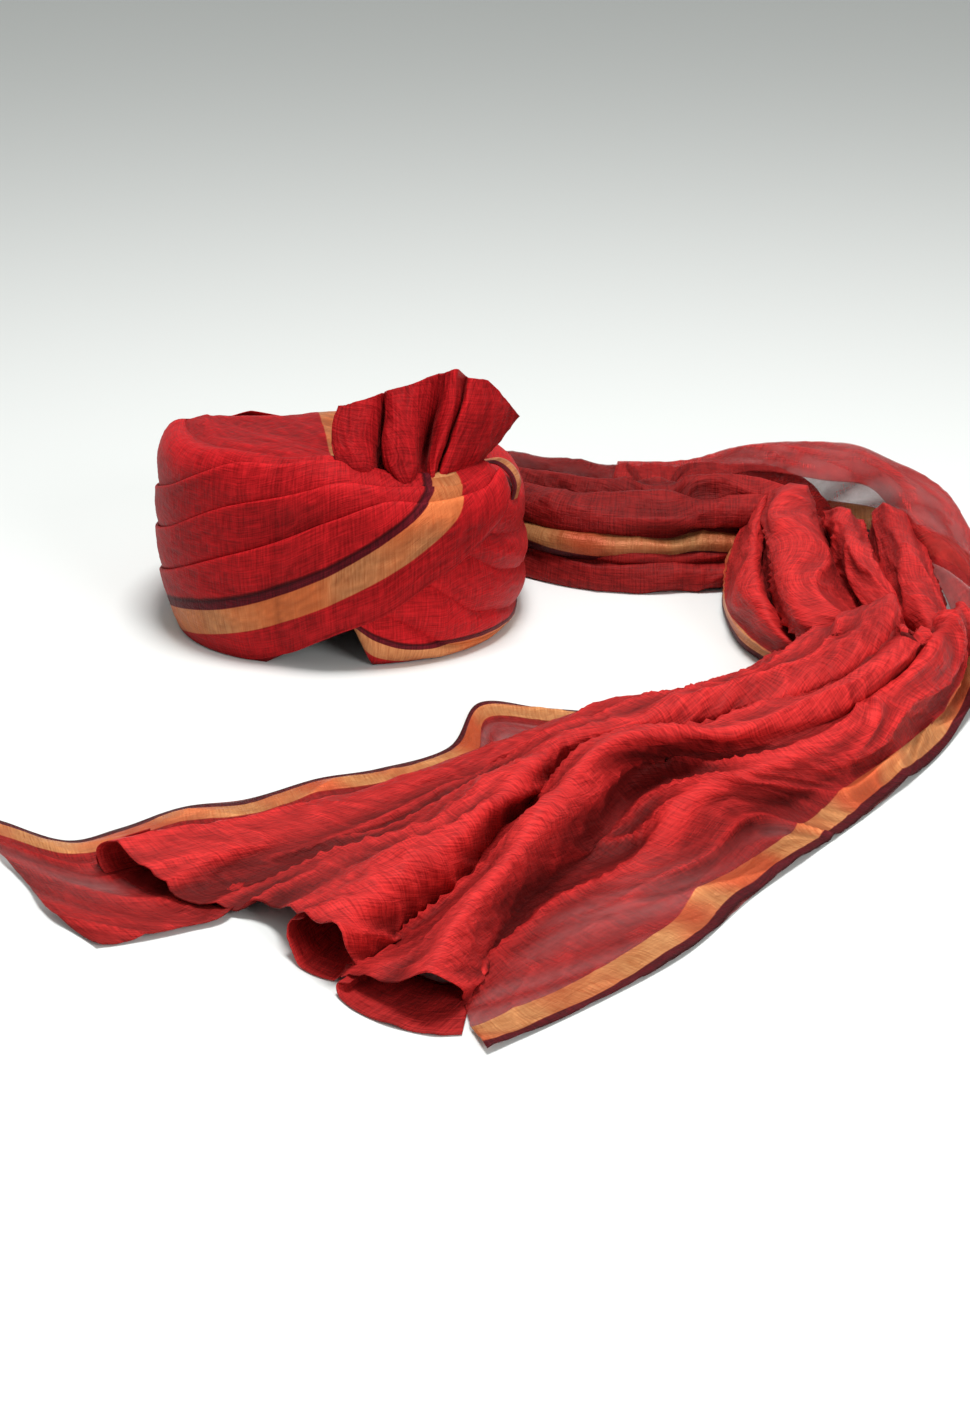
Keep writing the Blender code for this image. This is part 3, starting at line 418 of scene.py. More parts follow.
# Dark and light red threads
# The wound cloth is the wrap's red at about half its brightness, as painted shade for the crown's inside and
# rim
SHADED_WOUND_REDS = ((0.10, 0.003, 0.004, 1), (0.24, 0.007, 0.009, 1))
WRAP_REDS = ((0.20, 0.0035, 0.005, 1), (0.42, 0.009, 0.012, 1))
TAIL_REDS = ((0.22, 0.0065, 0.0072, 1), (0.50, 0.021, 0.020, 1))
MAROONS = ((0.030, 0.0025, 0.005, 1), (0.12, 0.006, 0.012, 1))
# Colour of the painted shadow along the cloth's edge, where the edge lies over the cloth beneath
EDGE_SHADOW = (0.012, 0.001, 0.002, 1)
SHEEN_TINT = (1.0, 0.22, 0.20, 1.0)
GLOSS_TINT = (1.0, 0.45, 0.42, 1.0)
# The border coordinate's ranges in which each stripe of the border begins and ends
GOLD_STRIPE = ((-0.02, 0.02), (0.98, 1.02))
MAROON_STRIPE = ((0.98, 1.02), (1.32, 1.36))
# The painted shadow along the cloth's edge
EDGE_SHADOW_STRIPE = ((1.22, 1.32), (1.38, 1.46))

# The studio: each light's place, size and power, where they point, and the room's colours
KEY_LIGHT = ((0.05, -0.1, 2.1), 0.7, 46)
FILL_LIGHT = ((1.25, -1.95, 1.1), 1.0, 27)
LIT_POINT = (0.0, 0.0, 0.05)
FLOOR_COLOUR = (0.74, 0.755, 0.74, 1.0)
FLOOR_REACH = 6.0
WORLD_COLOUR = (0.97, 1.0, 0.98, 1.0)
WORLD_STRENGTH = 0.45


def smooth(share):
    share = np.clip(share, 0.0, 1.0)
    return share * share * (3 - 2 * share)


def on_lines(rows, where):
    """Each column of a table at an array of places, on straight lines between its rows."""
    table = np.array(rows, float)
    return [np.interp(where, table[:, 0], column) for column in table[:, 1:].T]


def on_curve(rows, where):
    """Each column of a table at an array of places, on a smooth curve through its rows."""
    table = np.array(rows, float)
    places = table[:, 0]
    where = np.clip(where, places[0], places[-1])
    i = np.clip(np.searchsorted(places, where, "right") - 1, 0, len(places) - 2)
    gap = places[i + 1] - places[i]
    share = (where - places[i]) / gap
    found = []
    for column in table[:, 1:].T:
        slopes = np.empty_like(column)
        slopes[1:-1] = (column[2:] - column[:-2]) / (places[2:] - places[:-2])
        slopes[0] = (column[1] - column[0]) / (places[1] - places[0])
        slopes[-1] = (column[-1] - column[-2]) / (places[-1] - places[-2])
        found.append(
            column[i] * (1 - smooth(share)) + column[i + 1] * smooth(share)
            + slopes[i] * gap * share * (1 - share) ** 2 - slopes[i + 1] * gap * share ** 2 * (1 - share)
        )
    return found


def noise(x, y, seed):
    """Smooth values between about -1 and 1 over a plane, with one lattice step to each unit."""
    turns = np.random.default_rng(seed).uniform(0, 2 * math.pi, (128, 128))
    i, j = np.floor(x).astype(int), np.floor(y).astype(int)
    u, v = x - i, y - j

    def corner(di, dj):
        turn = turns[(i + di) % 128, (j + dj) % 128]
        return np.cos(turn) * (u - di) + np.sin(turn) * (v - dj)

    su, sv = u ** 3 * (u * (u * 6 - 15) + 10), v ** 3 * (v * (v * 6 - 15) + 10)
    low = corner(0, 0) * (1 - su) + corner(1, 0) * su
    high = corner(0, 1) * (1 - su) + corner(1, 1) * su
    return 1.5 * (low * (1 - sv) + high * sv)


def creases(x, y, seed):
    """Sharp little ridges from 0 to 1 between smooth hollows."""
    bend = 0.6 * noise(x * 0.7 + 31.7, y * 0.7 + 11.3, seed + 1)
    return np.maximum(1 - np.abs(noise(x + bend, y - bend, seed)), 0.0) ** 3


def wrapped(angle):
    return (angle + 180.0) % 360.0 - 180.0


def plan_radius(angle):
    turn = np.radians(angle)
    across = np.abs(np.cos(turn)) / HAT_HALF_WIDTH
    along = np.abs(np.sin(turn)) / HAT_HALF_DEPTH
    return (across ** HAT_CORNER_POWER + along ** HAT_CORNER_POWER) ** (-1 / HAT_CORNER_POWER)


def shoulder_height(angle):
    return HAT_HEIGHT * on_curve(SHOULDER_ROWS, wrapped(angle))[0]


def section(angle, level):
    """Distance from the hat's axis, and height, of the crown's outer surface."""
    radius_share, height_share = on_curve(SECTION_ROWS, level)
    inward = smooth(1 - radius_share / SHOULDER_RADIUS_SHARE)
    height = shoulder_height(angle) * height_share * (1 - inward) + HAT_HEIGHT * TOP_MIDDLE_SHARE * inward
    return plan_radius(angle) * np.maximum(radius_share, 0.0), height


def body(angle, level, lift):
    """Points on the hat, a distance outside the crown's surface."""
    angle, level, lift = np.broadcast_arrays(angle, level, lift)
    low_radius, low_height = section(angle, np.maximum(level - LEVEL_STEP, 0.0))
    high_radius, high_height = section(angle, np.minimum(level + LEVEL_STEP, 2.0))
    radius, height = section(angle, level)
    run, rise = high_radius - low_radius, high_height - low_height
    length = np.hypot(run, rise)
    radius = radius + lift * rise / length
    height = height - lift * run / length
    turn = np.radians(angle)
    return np.stack([radius * np.cos(turn), radius * np.sin(turn), height], -1)


def normals(points):
    """Unit normals of a grid of points."""
    down, right = np.gradient(points, axis=0), np.gradient(points, axis=1)
    normal = np.cross(down, right)
    return normal / np.maximum(np.linalg.norm(normal, axis=-1, keepdims=True), 1e-12)


def distances(points, axis):
    """How far along each row or column of a grid every point lies."""
    steps = np.linalg.norm(np.diff(points, axis=axis), axis=-1)
    first = np.zeros_like(np.take(steps, [0], axis=axis))
    return np.concatenate([first, np.cumsum(steps, axis=axis)], axis=axis)


def blurred(grid, reach):
    """A grid of points smoothed over a number of cells each way."""
    for axis in (0, 1):
        size = min(reach, (grid.shape[axis] - 1) // 2)
        margins = [(0, 0)] * grid.ndim
        margins[axis] = (size + 1, size)
        sums = np.cumsum(np.pad(grid, margins, mode="edge"), axis=axis)
        last = np.arange(2 * size + 1, sums.shape[axis])
        grid = (np.take(sums, last, axis) - np.take(sums, last - 2 * size - 1, axis)) / (2 * size + 1)
    return grid


def hollows(points, scales):
    """How hollow a grid is at every point, from -1 on a ridge to 1 in a crease, for painting shade into
    creases and light onto ridges.
    """
    normal = normals(points)
    found = 0.0
    for reach, depth in scales:
        sunk = ((blurred(points, reach) - points) * normal).sum(-1)
        found = found + np.clip(sunk / depth, -1, 1) / len(scales)
    return found


def add_object(name, data):
    thing = bpy.data.objects.new(name, data)
    bpy.context.scene.collection.objects.link(thing)
    return thing


def make_object(name, points, faces, material, cloth, **shares):
    """A smooth mesh in the hat's place, with cloth coordinates and named shares for its points."""
    mesh = bpy.data.meshes.new(name)
    mesh.from_pydata(points.tolist(), [], faces)
    for key, values in shares.items():
        mesh.attributes.new(key, "FLOAT", "POINT").data.foreach_set("value", values)
    mesh.attributes.new("cloth", "FLOAT_VECTOR", "POINT").data.foreach_set("vector", cloth.ravel())
    mesh.materials.append(material)
    mesh.shade_smooth()
    thing = add_object(name, mesh)
    thing.location = HAT_CENTRE
    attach(thing, "root")
    return thing


def make_sheet(name, grids, material, thickness=CLOTH_THICKNESS, scales=HAT_HOLLOWS, dim=0.0):
    """For each grid of points a closed sheet, with a second face a thickness behind it and a rim."""
    points, faces, cloths, sheers, deeps, dims = [], [], [], [], [], []
    start = 0
    for grid, cloth, sheer in grids:
        rows, columns = grid.shape[:2]
        behind = grid - normals(grid) * thickness
        count = rows * columns
        index = np.arange(count).reshape(rows, columns)
        corners = (index[:-1, :-1], index[1:, :-1], index[1:, 1:], index[:-1, 1:])
        front = np.stack(corners, -1).reshape(-1, 4)
        rim = np.concatenate([index[0, :], index[1:, -1], index[-1, -2::-1], index[-2:0:-1, 0]])
        following = np.roll(rim, -1)
        sides = np.stack([rim, following, following + count, rim + count], -1)
        faces.append(np.concatenate([front, front[:, ::-1] + count, sides]) + start)
        points += [grid.reshape(-1, 3), behind.reshape(-1, 3)]
        cloths += [cloth.reshape(-1, 3)] * 2
        sheers += [(sheer + np.zeros((rows, columns))).ravel()] * 2
        # How hollow each point is, by which the colour paints shade into creases and light onto ridges
        deeps += [hollows(grid, scales).ravel()] * 2
        # Painted shade, fading out over the grid's last rows
        fade = 1 - smooth((np.linspace(0, 1, rows)[:, None] - 0.6) / 0.4)
        dims += [(dim * fade + np.zeros((rows, columns))).ravel()] * 2
        start += 2 * count
    points, faces, cloths, sheers, deeps, dims = map(
        np.concatenate, (points, faces, cloths, sheers, deeps, dims))
    return make_object(
        name, points, faces.tolist(), material, cloths, hollow=deeps, dim=dims, sheer=sheers)


def make_node(tree, kind, inputs, **settings):
    """Adds a shader node, with its settings and with what its sockets hold or are joined to."""
    node = tree.nodes.new("ShaderNode" + kind)
    for key, value in settings.items():
        setattr(node, key, value)
    for key, value in inputs.items():
        if isinstance(value, bpy.types.NodeSocket):
            tree.links.new(value, node.inputs[key])
        else:
            node.inputs[key].default_value = value
    return node


def calculate(tree, operation, first, second=0.0, third=0.0, clamp=False):
    inputs = {0: first, 1: second, 2: third}
    return make_node(tree, "Math", inputs, operation=operation, use_clamp=clamp).outputs[0]


def ramp(tree, value, low, high, to_low=0.0, to_high=1.0):
    """A value's share of the way from low to high, spread over a new range."""
    inputs = {"Value": value, "From Min": low, "From Max": high, "To Min": to_low, "To Max": to_high}
    return make_node(tree, "MapRange", inputs).outputs["Result"]


def blend_colours(tree, factor, first, second, mode="MIX"):
    node = make_node(tree, "Mix", {0: factor, 6: first, 7: second}, data_type="RGBA", blend_type=mode)
    return node.outputs[2]


def stretched_noise(tree, place, stretch, scale, detail=2.0):
    moved = make_node(tree, "Mapping", {"Vector": place, "Scale": stretch})
    inputs = {"Vector": moved.outputs[0], "Scale": scale, "Detail": detail, "Roughness": 0.55}
    return make_node(tree, "TexNoise", inputs).outputs["Fac"]


def attribute(tree, name, output="Fac"):
    return make_node(tree, "Attribute", {}, attribute_name=name).outputs[output]


def stripe(tree, border, place):
    """1 inside a stripe of the border and 0 outside it."""
    rise, fall = place
    return calculate(tree, "MULTIPLY", ramp(tree, border, *rise), ramp(tree, border, *fall, 1.0, 0.0))


def cloth_material(name, reds, look):
    """Slubby cotton-silk with a woven border, placed by the mesh's own cloth coordinates."""
    material = bpy.data.materials.new(name)
    material.use_nodes = True
    tree = material.node_tree
    shader = tree.nodes["Principled BSDF"]
    parts = make_node(tree, "SeparateXYZ", {"Vector": attribute(tree, "cloth", "Vector")})
    along, across, border = (parts.outputs[axis] for axis in "XYZ")
    flat = make_node(tree, "CombineXYZ", {"X": along, "Y": across, "Z": 0.0}).outputs[0]

    warp = stretched_noise(tree, flat, (60, 1100, 1), 1.0)
    weft = stretched_noise(tree, flat, (900, 55, 1), 1.0)
    clouds = stretched_noise(tree, flat, (22, 30, 1), 1.0, 4.0)
    crinkle = stretched_noise(tree, flat, (130, 210, 1), 1.0, 5.0)
    threads = calculate(tree, "ADD", warp, weft)

    tone = calculate(tree, "MULTIPLY_ADD", threads, 0.75, calculate(tree, "MULTIPLY", clouds, 0.25))
    tone = calculate(tree, "MULTIPLY_ADD", crinkle, 0.25, tone)
    red = blend_colours(tree, ramp(tree, tone, 0.82, 1.18), *reds)
    gold_tone = calculate(tree, "MULTIPLY_ADD", weft, 0.7, calculate(tree, "MULTIPLY", clouds, 0.5))
    gold = blend_colours(tree, ramp(tree, gold_tone, 0.35, 0.85), look["gold_dark"], look["gold_light"])
    # Orange patches: partly the red warp showing through the gold, partly painted sheen where the gold's
    # shine turns away from the light
    weave_and_sheen_patches = ramp(tree, stretched_noise(tree, flat, (16, 12, 1), 1.0, 1.0), 0.42, 0.58)
    gold = blend_colours(tree, calculate(tree, "MULTIPLY", weave_and_sheen_patches, look["weave_and_sheen_patchy"]), gold, look["orange"])
    maroon = blend_colours(tree, ramp(tree, threads, 0.7, 1.3), *MAROONS)
    in_gold, in_maroon = stripe(tree, border, GOLD_STRIPE), stripe(tree, border, MAROON_STRIPE)
    colour = blend_colours(tree, in_gold, red, gold)
    colour = blend_colours(tree, in_maroon, colour, maroon)
    # Painted shadow: a dark line along the cloth's edge
    in_edge_shadow = calculate(tree, "MULTIPLY", stripe(tree, border, EDGE_SHADOW_STRIPE), 0.8)
    colour = blend_colours(tree, in_edge_shadow, colour, EDGE_SHADOW)
    # Painted shade and painted light: creases darkened and ridges lightened by how hollow the cloth is
    painted_fold_shading = ramp(tree, attribute(tree, "hollow"), -0.7, 0.7, 1.30, 0.28)
    # Painted shade held by the mesh darkens the run behind the hat
    shade = calculate(tree, "MULTIPLY", painted_fold_shading, calculate(tree, "SUBTRACT", 1.0, attribute(tree, "dim")))
    shades = make_node(tree, "CombineXYZ", {"X": shade, "Y": shade, "Z": shade}).outputs[0]
    colour = blend_colours(tree, 1.0, colour, shades, "MULTIPLY")
    tree.links.new(colour, shader.inputs["Base Color"])

    inputs = {"Vector": flat, "Scale": (46, 74, 1), "Rotation": (0.0, 0.0, 0.5)}
    bent = make_node(tree, "Mapping", inputs).outputs[0]
    stray = make_node(tree, "TexNoise", {"Vector": flat, "Scale": 60.0, "Detail": 2.0}).outputs["Color"]
    inputs = {0: stray, 1: (1.1, 1.1, 0.0), 2: bent}
    bent = make_node(tree, "VectorMath", inputs, operation="MULTIPLY_ADD").outputs[0]
    inputs = {"Vector": bent, "Scale": 1.0, "Randomness": 1.0}
    facets = make_node(tree, "TexVoronoi", inputs).outputs["Distance"]
    height = calculate(tree, "MULTIPLY_ADD", threads, 0.35, crinkle)
    height = calculate(tree, "MULTIPLY_ADD", facets, look["crumpled"], height)
    bump = make_node(tree, "Bump", {"Strength": 0.9, "Distance": look["crinkled"], "Height": height})
    tree.links.new(bump.outputs["Normal"], shader.inputs["Normal"])
    rough = ramp(tree, threads, 0.6, 1.4, 0.46, 0.66)
    rough = calculate(tree, "MULTIPLY_ADD", in_gold, -0.16, rough)
    tree.links.new(rough, shader.inputs["Roughness"])
    tree.links.new(calculate(tree, "MULTIPLY", in_gold, 0.15), shader.inputs["Metallic"])
    shader.inputs["Sheen Weight"].default_value = 0.05
    shader.inputs["Sheen Roughness"].default_value = 0.4
    shader.inputs["Sheen Tint"].default_value = SHEEN_TINT
    shader.inputs["Specular IOR Level"].default_value = look["gloss"]
    shader.inputs["Specular Tint"].default_value = GLOSS_TINT
    if look["sheer"] > 0.0:
        thin = attribute(tree, "sheer")
        mottled = calculate(tree, "MULTIPLY_ADD", crinkle, 0.35, -0.17)
        thin = calculate(tree, "ADD", thin, calculate(tree, "MULTIPLY", thin, mottled))
        woven = calculate(tree, "MULTIPLY_ADD", calculate(tree, "ADD", in_gold, in_maroon), -0.8, 1.0)
        thin = calculate(tree, "MULTIPLY", thin, woven)
        alpha = calculate(tree, "SUBTRACT", 1.0, calculate(tree, "MULTIPLY", thin, look["sheer"]), clamp=True)
        tree.links.new(alpha, shader.inputs["Alpha"])
    return material


def shoulder_ease(level):
    return SHOULDER_EASE * smooth((level - EASE_FIRST_LEVEL) / EASE_SPAN)


def joined(grids, column):
    """Grids side by side, each spread over the rows of a column."""
    return np.concatenate([grid + 0 * column for grid in grids], 1)


def hem_level(angle):
    return HEM_ABOVE_FLOOR / shoulder_height(angle)


def left_base(angle):
    return WRAP_EASE + RIGHT_WRAP_DEPTH * on_lines(OVERLAP_ROWS, angle)[0]


def right_base(angle):
    return WRAP_EASE + 0 * angle


def pleated_wrap(rows, base, pleat, seed):
    """A pleated wrap's grids: points, distances along and across its cloth, band numbers and angles."""
    first, last = rows[0][0], rows[-1][0]
    mean_radius = (HAT_HALF_WIDTH + HAT_HALF_DEPTH) / 2
    count = int(math.radians(last - first) * mean_radius / GRID_STEP)
    angle = np.linspace(first, last, count)[:, None]
    edges = [edge[:, 0][:, None] for edge in on_curve(rows, angle)]
    edges[0] = np.maximum(edges[0], hem_level(angle))
    shoulder = shoulder_height(angle)
    lift, puff = pleat
    along = np.radians(angle - first) * mean_radius
    levels, lifts, bands = [], [], []
    bands_count = len(edges) - 1
    for band in range(bands_count):
        low, high = edges[band], edges[band + 1]
        width = np.maximum((high - low) * shoulder, LEAST_PLEAT)
        tuck = np.minimum(TUCK_DEPTH, width * TUCK_SHARE) / shoulder
        last_band = band == bands_count - 1
        band_lift = lift * smooth(width / FULL_RISE_WIDTH)
        if band == 0:
            roll = np.linspace(0, 1, 6)[None, :]
            levels.append(low + (1 - roll) * HEM_TURN / shoulder)
            lifts.append(base(angle) + 0.0003 + 0 * roll)
            bands.append(roll * 0)
            begin = low
        else:
            begin = low - np.minimum(TUCK_DEPTH, (low - edges[band - 1]) * shoulder * TUCK_SHARE) / shoulder
        steps = max(10, int(np.median(width) / GRID_STEP * 1.15) + 6)
        t = np.linspace(0, 1, steps)[None, :]
        level = begin + (high - begin) * t
        rise = band_lift * t + puff * np.sin(np.pi * t) * smooth(width / FULL_PUFF_WIDTH)
        if last_band:
            sunk = (SHOULDER_EASE + 0.0006) * smooth((t - 0.7) / 0.3)
            rise = (0.6 * lift + puff) * np.sin(np.pi * t) - sunk
        flat = CLOTH_THICKNESS + 0.0004 * smooth(t * 6)
        depth = base(angle) + flat + rise
        fine = creases(along * 60 + band * 7.1, t * width * 160 + seed, seed + band)
        soft = noise(along * 28 + band * 3.7, t * width * 70, seed + 20 + band)
        broad = noise(along * 11 + band * 5.3, t * 1.5 + band, seed + 40 + band)
        envelope = smooth(t * 4) * smooth((1 - t) * 6 + 0.25)
        depth = depth + envelope * (WRAP_CREASE * fine + WRAP_SOFT * soft + WRAP_BROAD * broad)
        levels.append(level)
        lifts.append(depth)
        bands.append(t * 0 + band)
        if last_band:
            continue
        radius = np.minimum(LIP_RADIUS, width * 0.12)
        turn = np.linspace(0, np.pi, 7)[None, 1:]
        top = depth[:, -1:]
        levels.append(high + radius * np.sin(turn) / shoulder)
        lifts.append(top - radius + radius * np.cos(turn))
        bands.append(turn * 0 + band)
        back = np.linspace(0, 1, 4)[None, 1:-1]
        under = base(angle) + CLOTH_THICKNESS + 0.0007
        levels.append(high - tuck * back)
        lifts.append((top - 2 * radius) * (1 - back) + under * back)
        bands.append(back * 0 + band)
    level, lifted, band = (joined(grids, angle) for grids in (levels, lifts, bands))
    points = body(angle, np.clip(level, 0.0005, 1.98), lifted + shoulder_ease(level))
    points[..., 2] = np.maximum(points[..., 2], HEM_ABOVE_FLOOR)
    return points, along + 0 * level, distances(points, 1), band, angle + 0 * level


def border_place(rows, points, angle, band):
    """Where each point lies in the woven border: 0 to 1 over its gold, then on over its maroon."""
    low, gold, maroon = (column / 1000 for column in on_curve(rows, angle))
    above = (points[..., 2] - low) / gold
    above = np.where(above > 1, 1 + (above - 1) * MAROON_SPAN * gold / maroon, above)
    return np.where((band > 0) & (angle < -70), NO_BORDER, np.clip(above, -NO_BORDER, NO_BORDER))


def make_left_wrap(material):
    points, along, across, band, angle = pleated_wrap(LEFT_ROWS, left_base, LEFT_PLEAT, 100)
    border = border_place(LEFT_BORDER_ROWS, points, angle, band)
    wrap = make_sheet("left_wrap_cloth", [(points, np.stack([along, across, border], -1), 0.0)], material)
    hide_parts("left_wrap")
    return wrap


def make_right_wrap(material):
    points, along, across, band, angle = pleated_wrap(RIGHT_ROWS, right_base, RIGHT_PLEAT, 200)
    border = border_place(RIGHT_BORDER_ROWS, points, angle, band)
    wrap = make_sheet("right_wrap_cloth", [(points, np.stack([along, across, border], -1), 0.0)], material)
    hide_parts("right_wrap")
    return wrap


def top_point(x_share, y_share, lift):
    """Points over the hat's top, at shares of the top wrap's reach along and across its run."""
    along = x_share * np.sqrt(1 - y_share * y_share / 2)
    across = y_share * np.sqrt(1 - x_share * x_share / 2)
    angle = TOP_RUN_ANGLE + np.degrees(np.arctan2(across, along))
    share = TOP_WRAP_REACH * SHOULDER_RADIUS_SHARE * np.hypot(along, across)
    table = np.linspace(1.0, 2.0, 400)
    radii = on_curve(SECTION_ROWS, table)[0]
    level = np.interp(-share, -radii, table)
    radius, height = section(angle, level)
    turn = np.radians(angle)
    return np.stack([radius * np.cos(turn), radius * np.sin(turn), height + lift], -1)


def make_top_wrap(material):
    x = np.linspace(-1, 1, TOP_COLUMNS)[:, None]
    ys, lifts = [], []
    for band, (low, high) in enumerate(zip(TOP_EDGES, TOP_EDGES[1:])):
        t = np.linspace(0, 1, TOP_BAND_COLUMNS)[None, :]
        last_band = band == len(TOP_EDGES) - 2
        rise = TOP_PLEAT_RISE * (1 - t if last_band else t)
        fine = creases(x * 6 + band * 3.1, t * 5, 300 + band) * TOP_WRINKLE
        soft = noise(x * 4 + band, t * 2.5, 320 + band) * TOP_WRINKLE
        envelope = smooth(t * 5) * smooth((1 - t) * 5)
        begin = low - (TOP_TUCK if band else 0.0)
        ys.append(begin + (high - begin) * t)
        lifts.append(TOP_EASE + CLOTH_THICKNESS + rise + envelope * (fine + soft))
        if last_band:
            continue
        turn = np.linspace(0, np.pi, 6)[None, 1:]
        ys.append(high + TOP_LIP * np.sin(turn))
        lifts.append(TOP_EASE + CLOTH_THICKNESS + TOP_PLEAT_RISE - LIP_RADIUS / 2 * (1 - np.cos(turn)))
    y, lift = joined(ys, x), joined(lifts, x)
    out = np.hypot(x * np.sqrt(1 - y * y / 2), y * np.sqrt(1 - x * x / 2))
    lift = 0.0006 + (lift - 0.0006) * smooth((1.0 - out) / 0.16)
    points = top_point(x + 0 * y, np.clip(y, -1, 1), lift)
    across = distances(points, 1)
    share = np.clip((TOP_GOLD[0][1] - points[..., 1]) / (TOP_GOLD[0][1] - TOP_GOLD[1][1]), -0.3, 1.6)
    left = TOP_GOLD[0][0] + (TOP_GOLD[1][0] - TOP_GOLD[0][0]) * share
    border = (points[..., 0] - left) / TOP_GOLD_WIDTH
    border = np.where(border > 1, NO_BORDER, np.clip(border, -NO_BORDER, 1))
    cloth = np.stack([x * 0.09 + 0 * y, across, border], -1)
    wrap = make_sheet("top_wrap_cloth", [(points, cloth, 0.0)], material)
    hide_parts("top_wrap")
    return wrap


def fan_rows():
    """Rows of points in millimetres across the fan's folds, from its hidden root to its top edge."""
    rows = []
    for step in (-1, 0, 1, 2, 3, 4):
        row = []
        for fold in FAN_FOLDS:
            place = max(step, 0)
            seat = -FAN_SEAT_FIRST
            for _ in range(3):
                foot = seen_at(fold[0], fold[1], 1, seat)[0]
                seat = -math.sqrt(max(FAN_SEAT_RADIUS ** 2 - foot ** 2, FAN_SEAT_LEAST ** 2))
            x, y = fold[2 * place:2 * place + 2]
            depth = seat + FAN_LEAN * place / 4 - fold[10 + place]
            if step < 0:
                y, depth = y + FAN_ROOT_PIXELS, depth + FAN_ROOT_DEPTH
            row.append([round(float(value)) for value in seen_at(x, y, 1, depth)])
        rows.append(row)
    return rows


def make_fan(material):
    points, _ = loft(fan_rows(), 16, 12)
    points = points[:, ::-1]
    along, across = distances(points, 0), distances(points, 1)
    up = np.linspace(0, 1, len(points))[:, None]
    place = np.linspace(1, 0, points.shape[1])[None, :]
    fine = creases(place * 40 + up * 2, up * 3.0, 400) * 0.0007
    soft = noise(place * 16, up * 2.6, 410) * 0.0008
    points = points + normals(points) * ((fine + soft) * smooth(up * 3))[..., None]
    cloth = np.stack([along, across, NO_BORDER + 0 * along], -1)
    thin = 0.75 * smooth((place - FAN_THIN_FROM[0]) / 0.05) * smooth((up - FAN_THIN_FROM[1]) / 0.06)
    fan = make_sheet("fan_cloth", [(points, cloth, thin)], material, FAN_CLOTH)
    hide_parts("fan")
    return fan


def right_surface_lift(level):
    """How far the right wrap's folds stand out, at most, under what lies on them."""
    return RIGHT_WRAP_REACH + shoulder_ease(level)


def make_back_loop(material):
    share = np.linspace(0, 1, 50)[:, None]
    side = np.linspace(1, -1, 24)[None, :]
    level = LOOP_FIRST_LEVEL + (LOOP_LAST_LEVEL - LOOP_FIRST_LEVEL) * share
    half = math.degrees(LOOP_WIDTH / 2 / float(plan_radius(np.array(LOOP_ANGLE))))
    angle = LOOP_ANGLE + half * side
    arch = LOOP_RISE * np.sin(share * np.pi) ** 2
    lift = right_surface_lift(level) + arch + LOOP_CROWNING * (1 - side * side)
    points = body(angle, level, lift)
    points = points + normals(points) * (0.0005 * noise(share * 5, side * 2, 500))[..., None]
    along, across = distances(points, 0), distances(points, 1)
    border = (1 - (side + 1) / 2) * 1.5 - 0.1
    cloth = np.stack([along, across, border + 0 * along], -1)
    loop = make_sheet("back_loop_cloth", [(points, cloth, 0.0)], material)
    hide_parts("back_loop")
    return loop


def notch_level(angle):
    """How far up the crown's rim is cut away at the forehead."""
    left = (angle - NOTCH_LEFT_ANGLE) / (NOTCH_APEX_ANGLE - NOTCH_LEFT_ANGLE)
    right = (NOTCH_RIGHT_ANGLE - angle) / (NOTCH_RIGHT_ANGLE - NOTCH_APEX_ANGLE)
    return CROWN_NOTCH_HEIGHT * np.clip(np.minimum(left, right), 0, 1) / HAT_HEIGHT


def make_crown(material):
    """The wound bowl, with the turns of its cloth showing inside and at the rim."""
    angle = np.linspace(-180, 180, CROWN_COLUMNS, endpoint=False)[:, None]
    cut = notch_level(angle)
    down = np.concatenate([np.linspace(1.97, 1.02, 34), np.linspace(1.0, 0.0, 52)])[None, :]
    rim_turn = np.linspace(0, np.pi, 9)[None, 1:-1]
    up = down[:, ::-1]
    level_out = np.where(down < 1, cut + down * (1 - cut), down)
    level_in = np.where(up < 1, cut + up * (1 - cut), up)
    turns = (level_in * 7 + angle / 360) % 1
    ridge = CROWN_TURN_HEIGHT * (turns ** 1.5) * smooth(level_in * 6) * smooth((1.9 - level_in) * 3)
    outside = body(angle, level_out, -0.0002)
    inside = body(angle, level_in, -CROWN_WALL + ridge)
    low = outside[:, -1:, :]
    radial = np.stack([np.cos(np.radians(angle)), np.sin(np.radians(angle)), 0 * angle], -1)
    inside[:, 0, :] = low[:, 0, :] - radial[:, 0, :] * CROWN_WALL
    arc = low - radial * (CROWN_WALL / 2) * (1 - np.cos(rim_turn))[..., None]
    arc[..., 2] = low[..., 2]
    points = np.concatenate([outside, arc, inside], 1)
    points[..., 2] = np.maximum(points[..., 2], 0.0)
    rows, columns = points.shape[:2]
    index = np.arange(rows * columns).reshape(rows, columns)
    after = np.roll(index, -1, axis=0)
    faces = np.stack([index[:, :-1], index[:, 1:], after[:, 1:], after[:, :-1]], -1).reshape(-1, 4)
    along = np.radians(angle + 180) * HAT_HALF_WIDTH
    across = distances(points, 1)
    cloth = np.stack([along + 0 * across, across, NO_BORDER + 0 * across], -1)
    poles = np.array([points[:, 0].mean(0), points[:, -1].mean(0)])
    caps = []
    for pole, ring, flip in ((rows * columns, index[:, 0], False), (rows * columns + 1, index[:, -1], True)):
        following = np.roll(ring, -1)
        pair = (following, ring) if flip else (ring, following)
        caps.append(np.stack([pair[0], pair[1], np.full(rows, pole)], -1))
    all_faces = faces.tolist() + caps[0].tolist() + caps[1].tolist()
    points = np.concatenate([points.reshape(-1, 3), poles])
    cloth = np.concatenate([cloth.reshape(-1, 3), [[0, 0, NO_BORDER]] * 2])
    crown = make_object("crown_cloth", points, all_faces, material, cloth)
    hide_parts("crown")


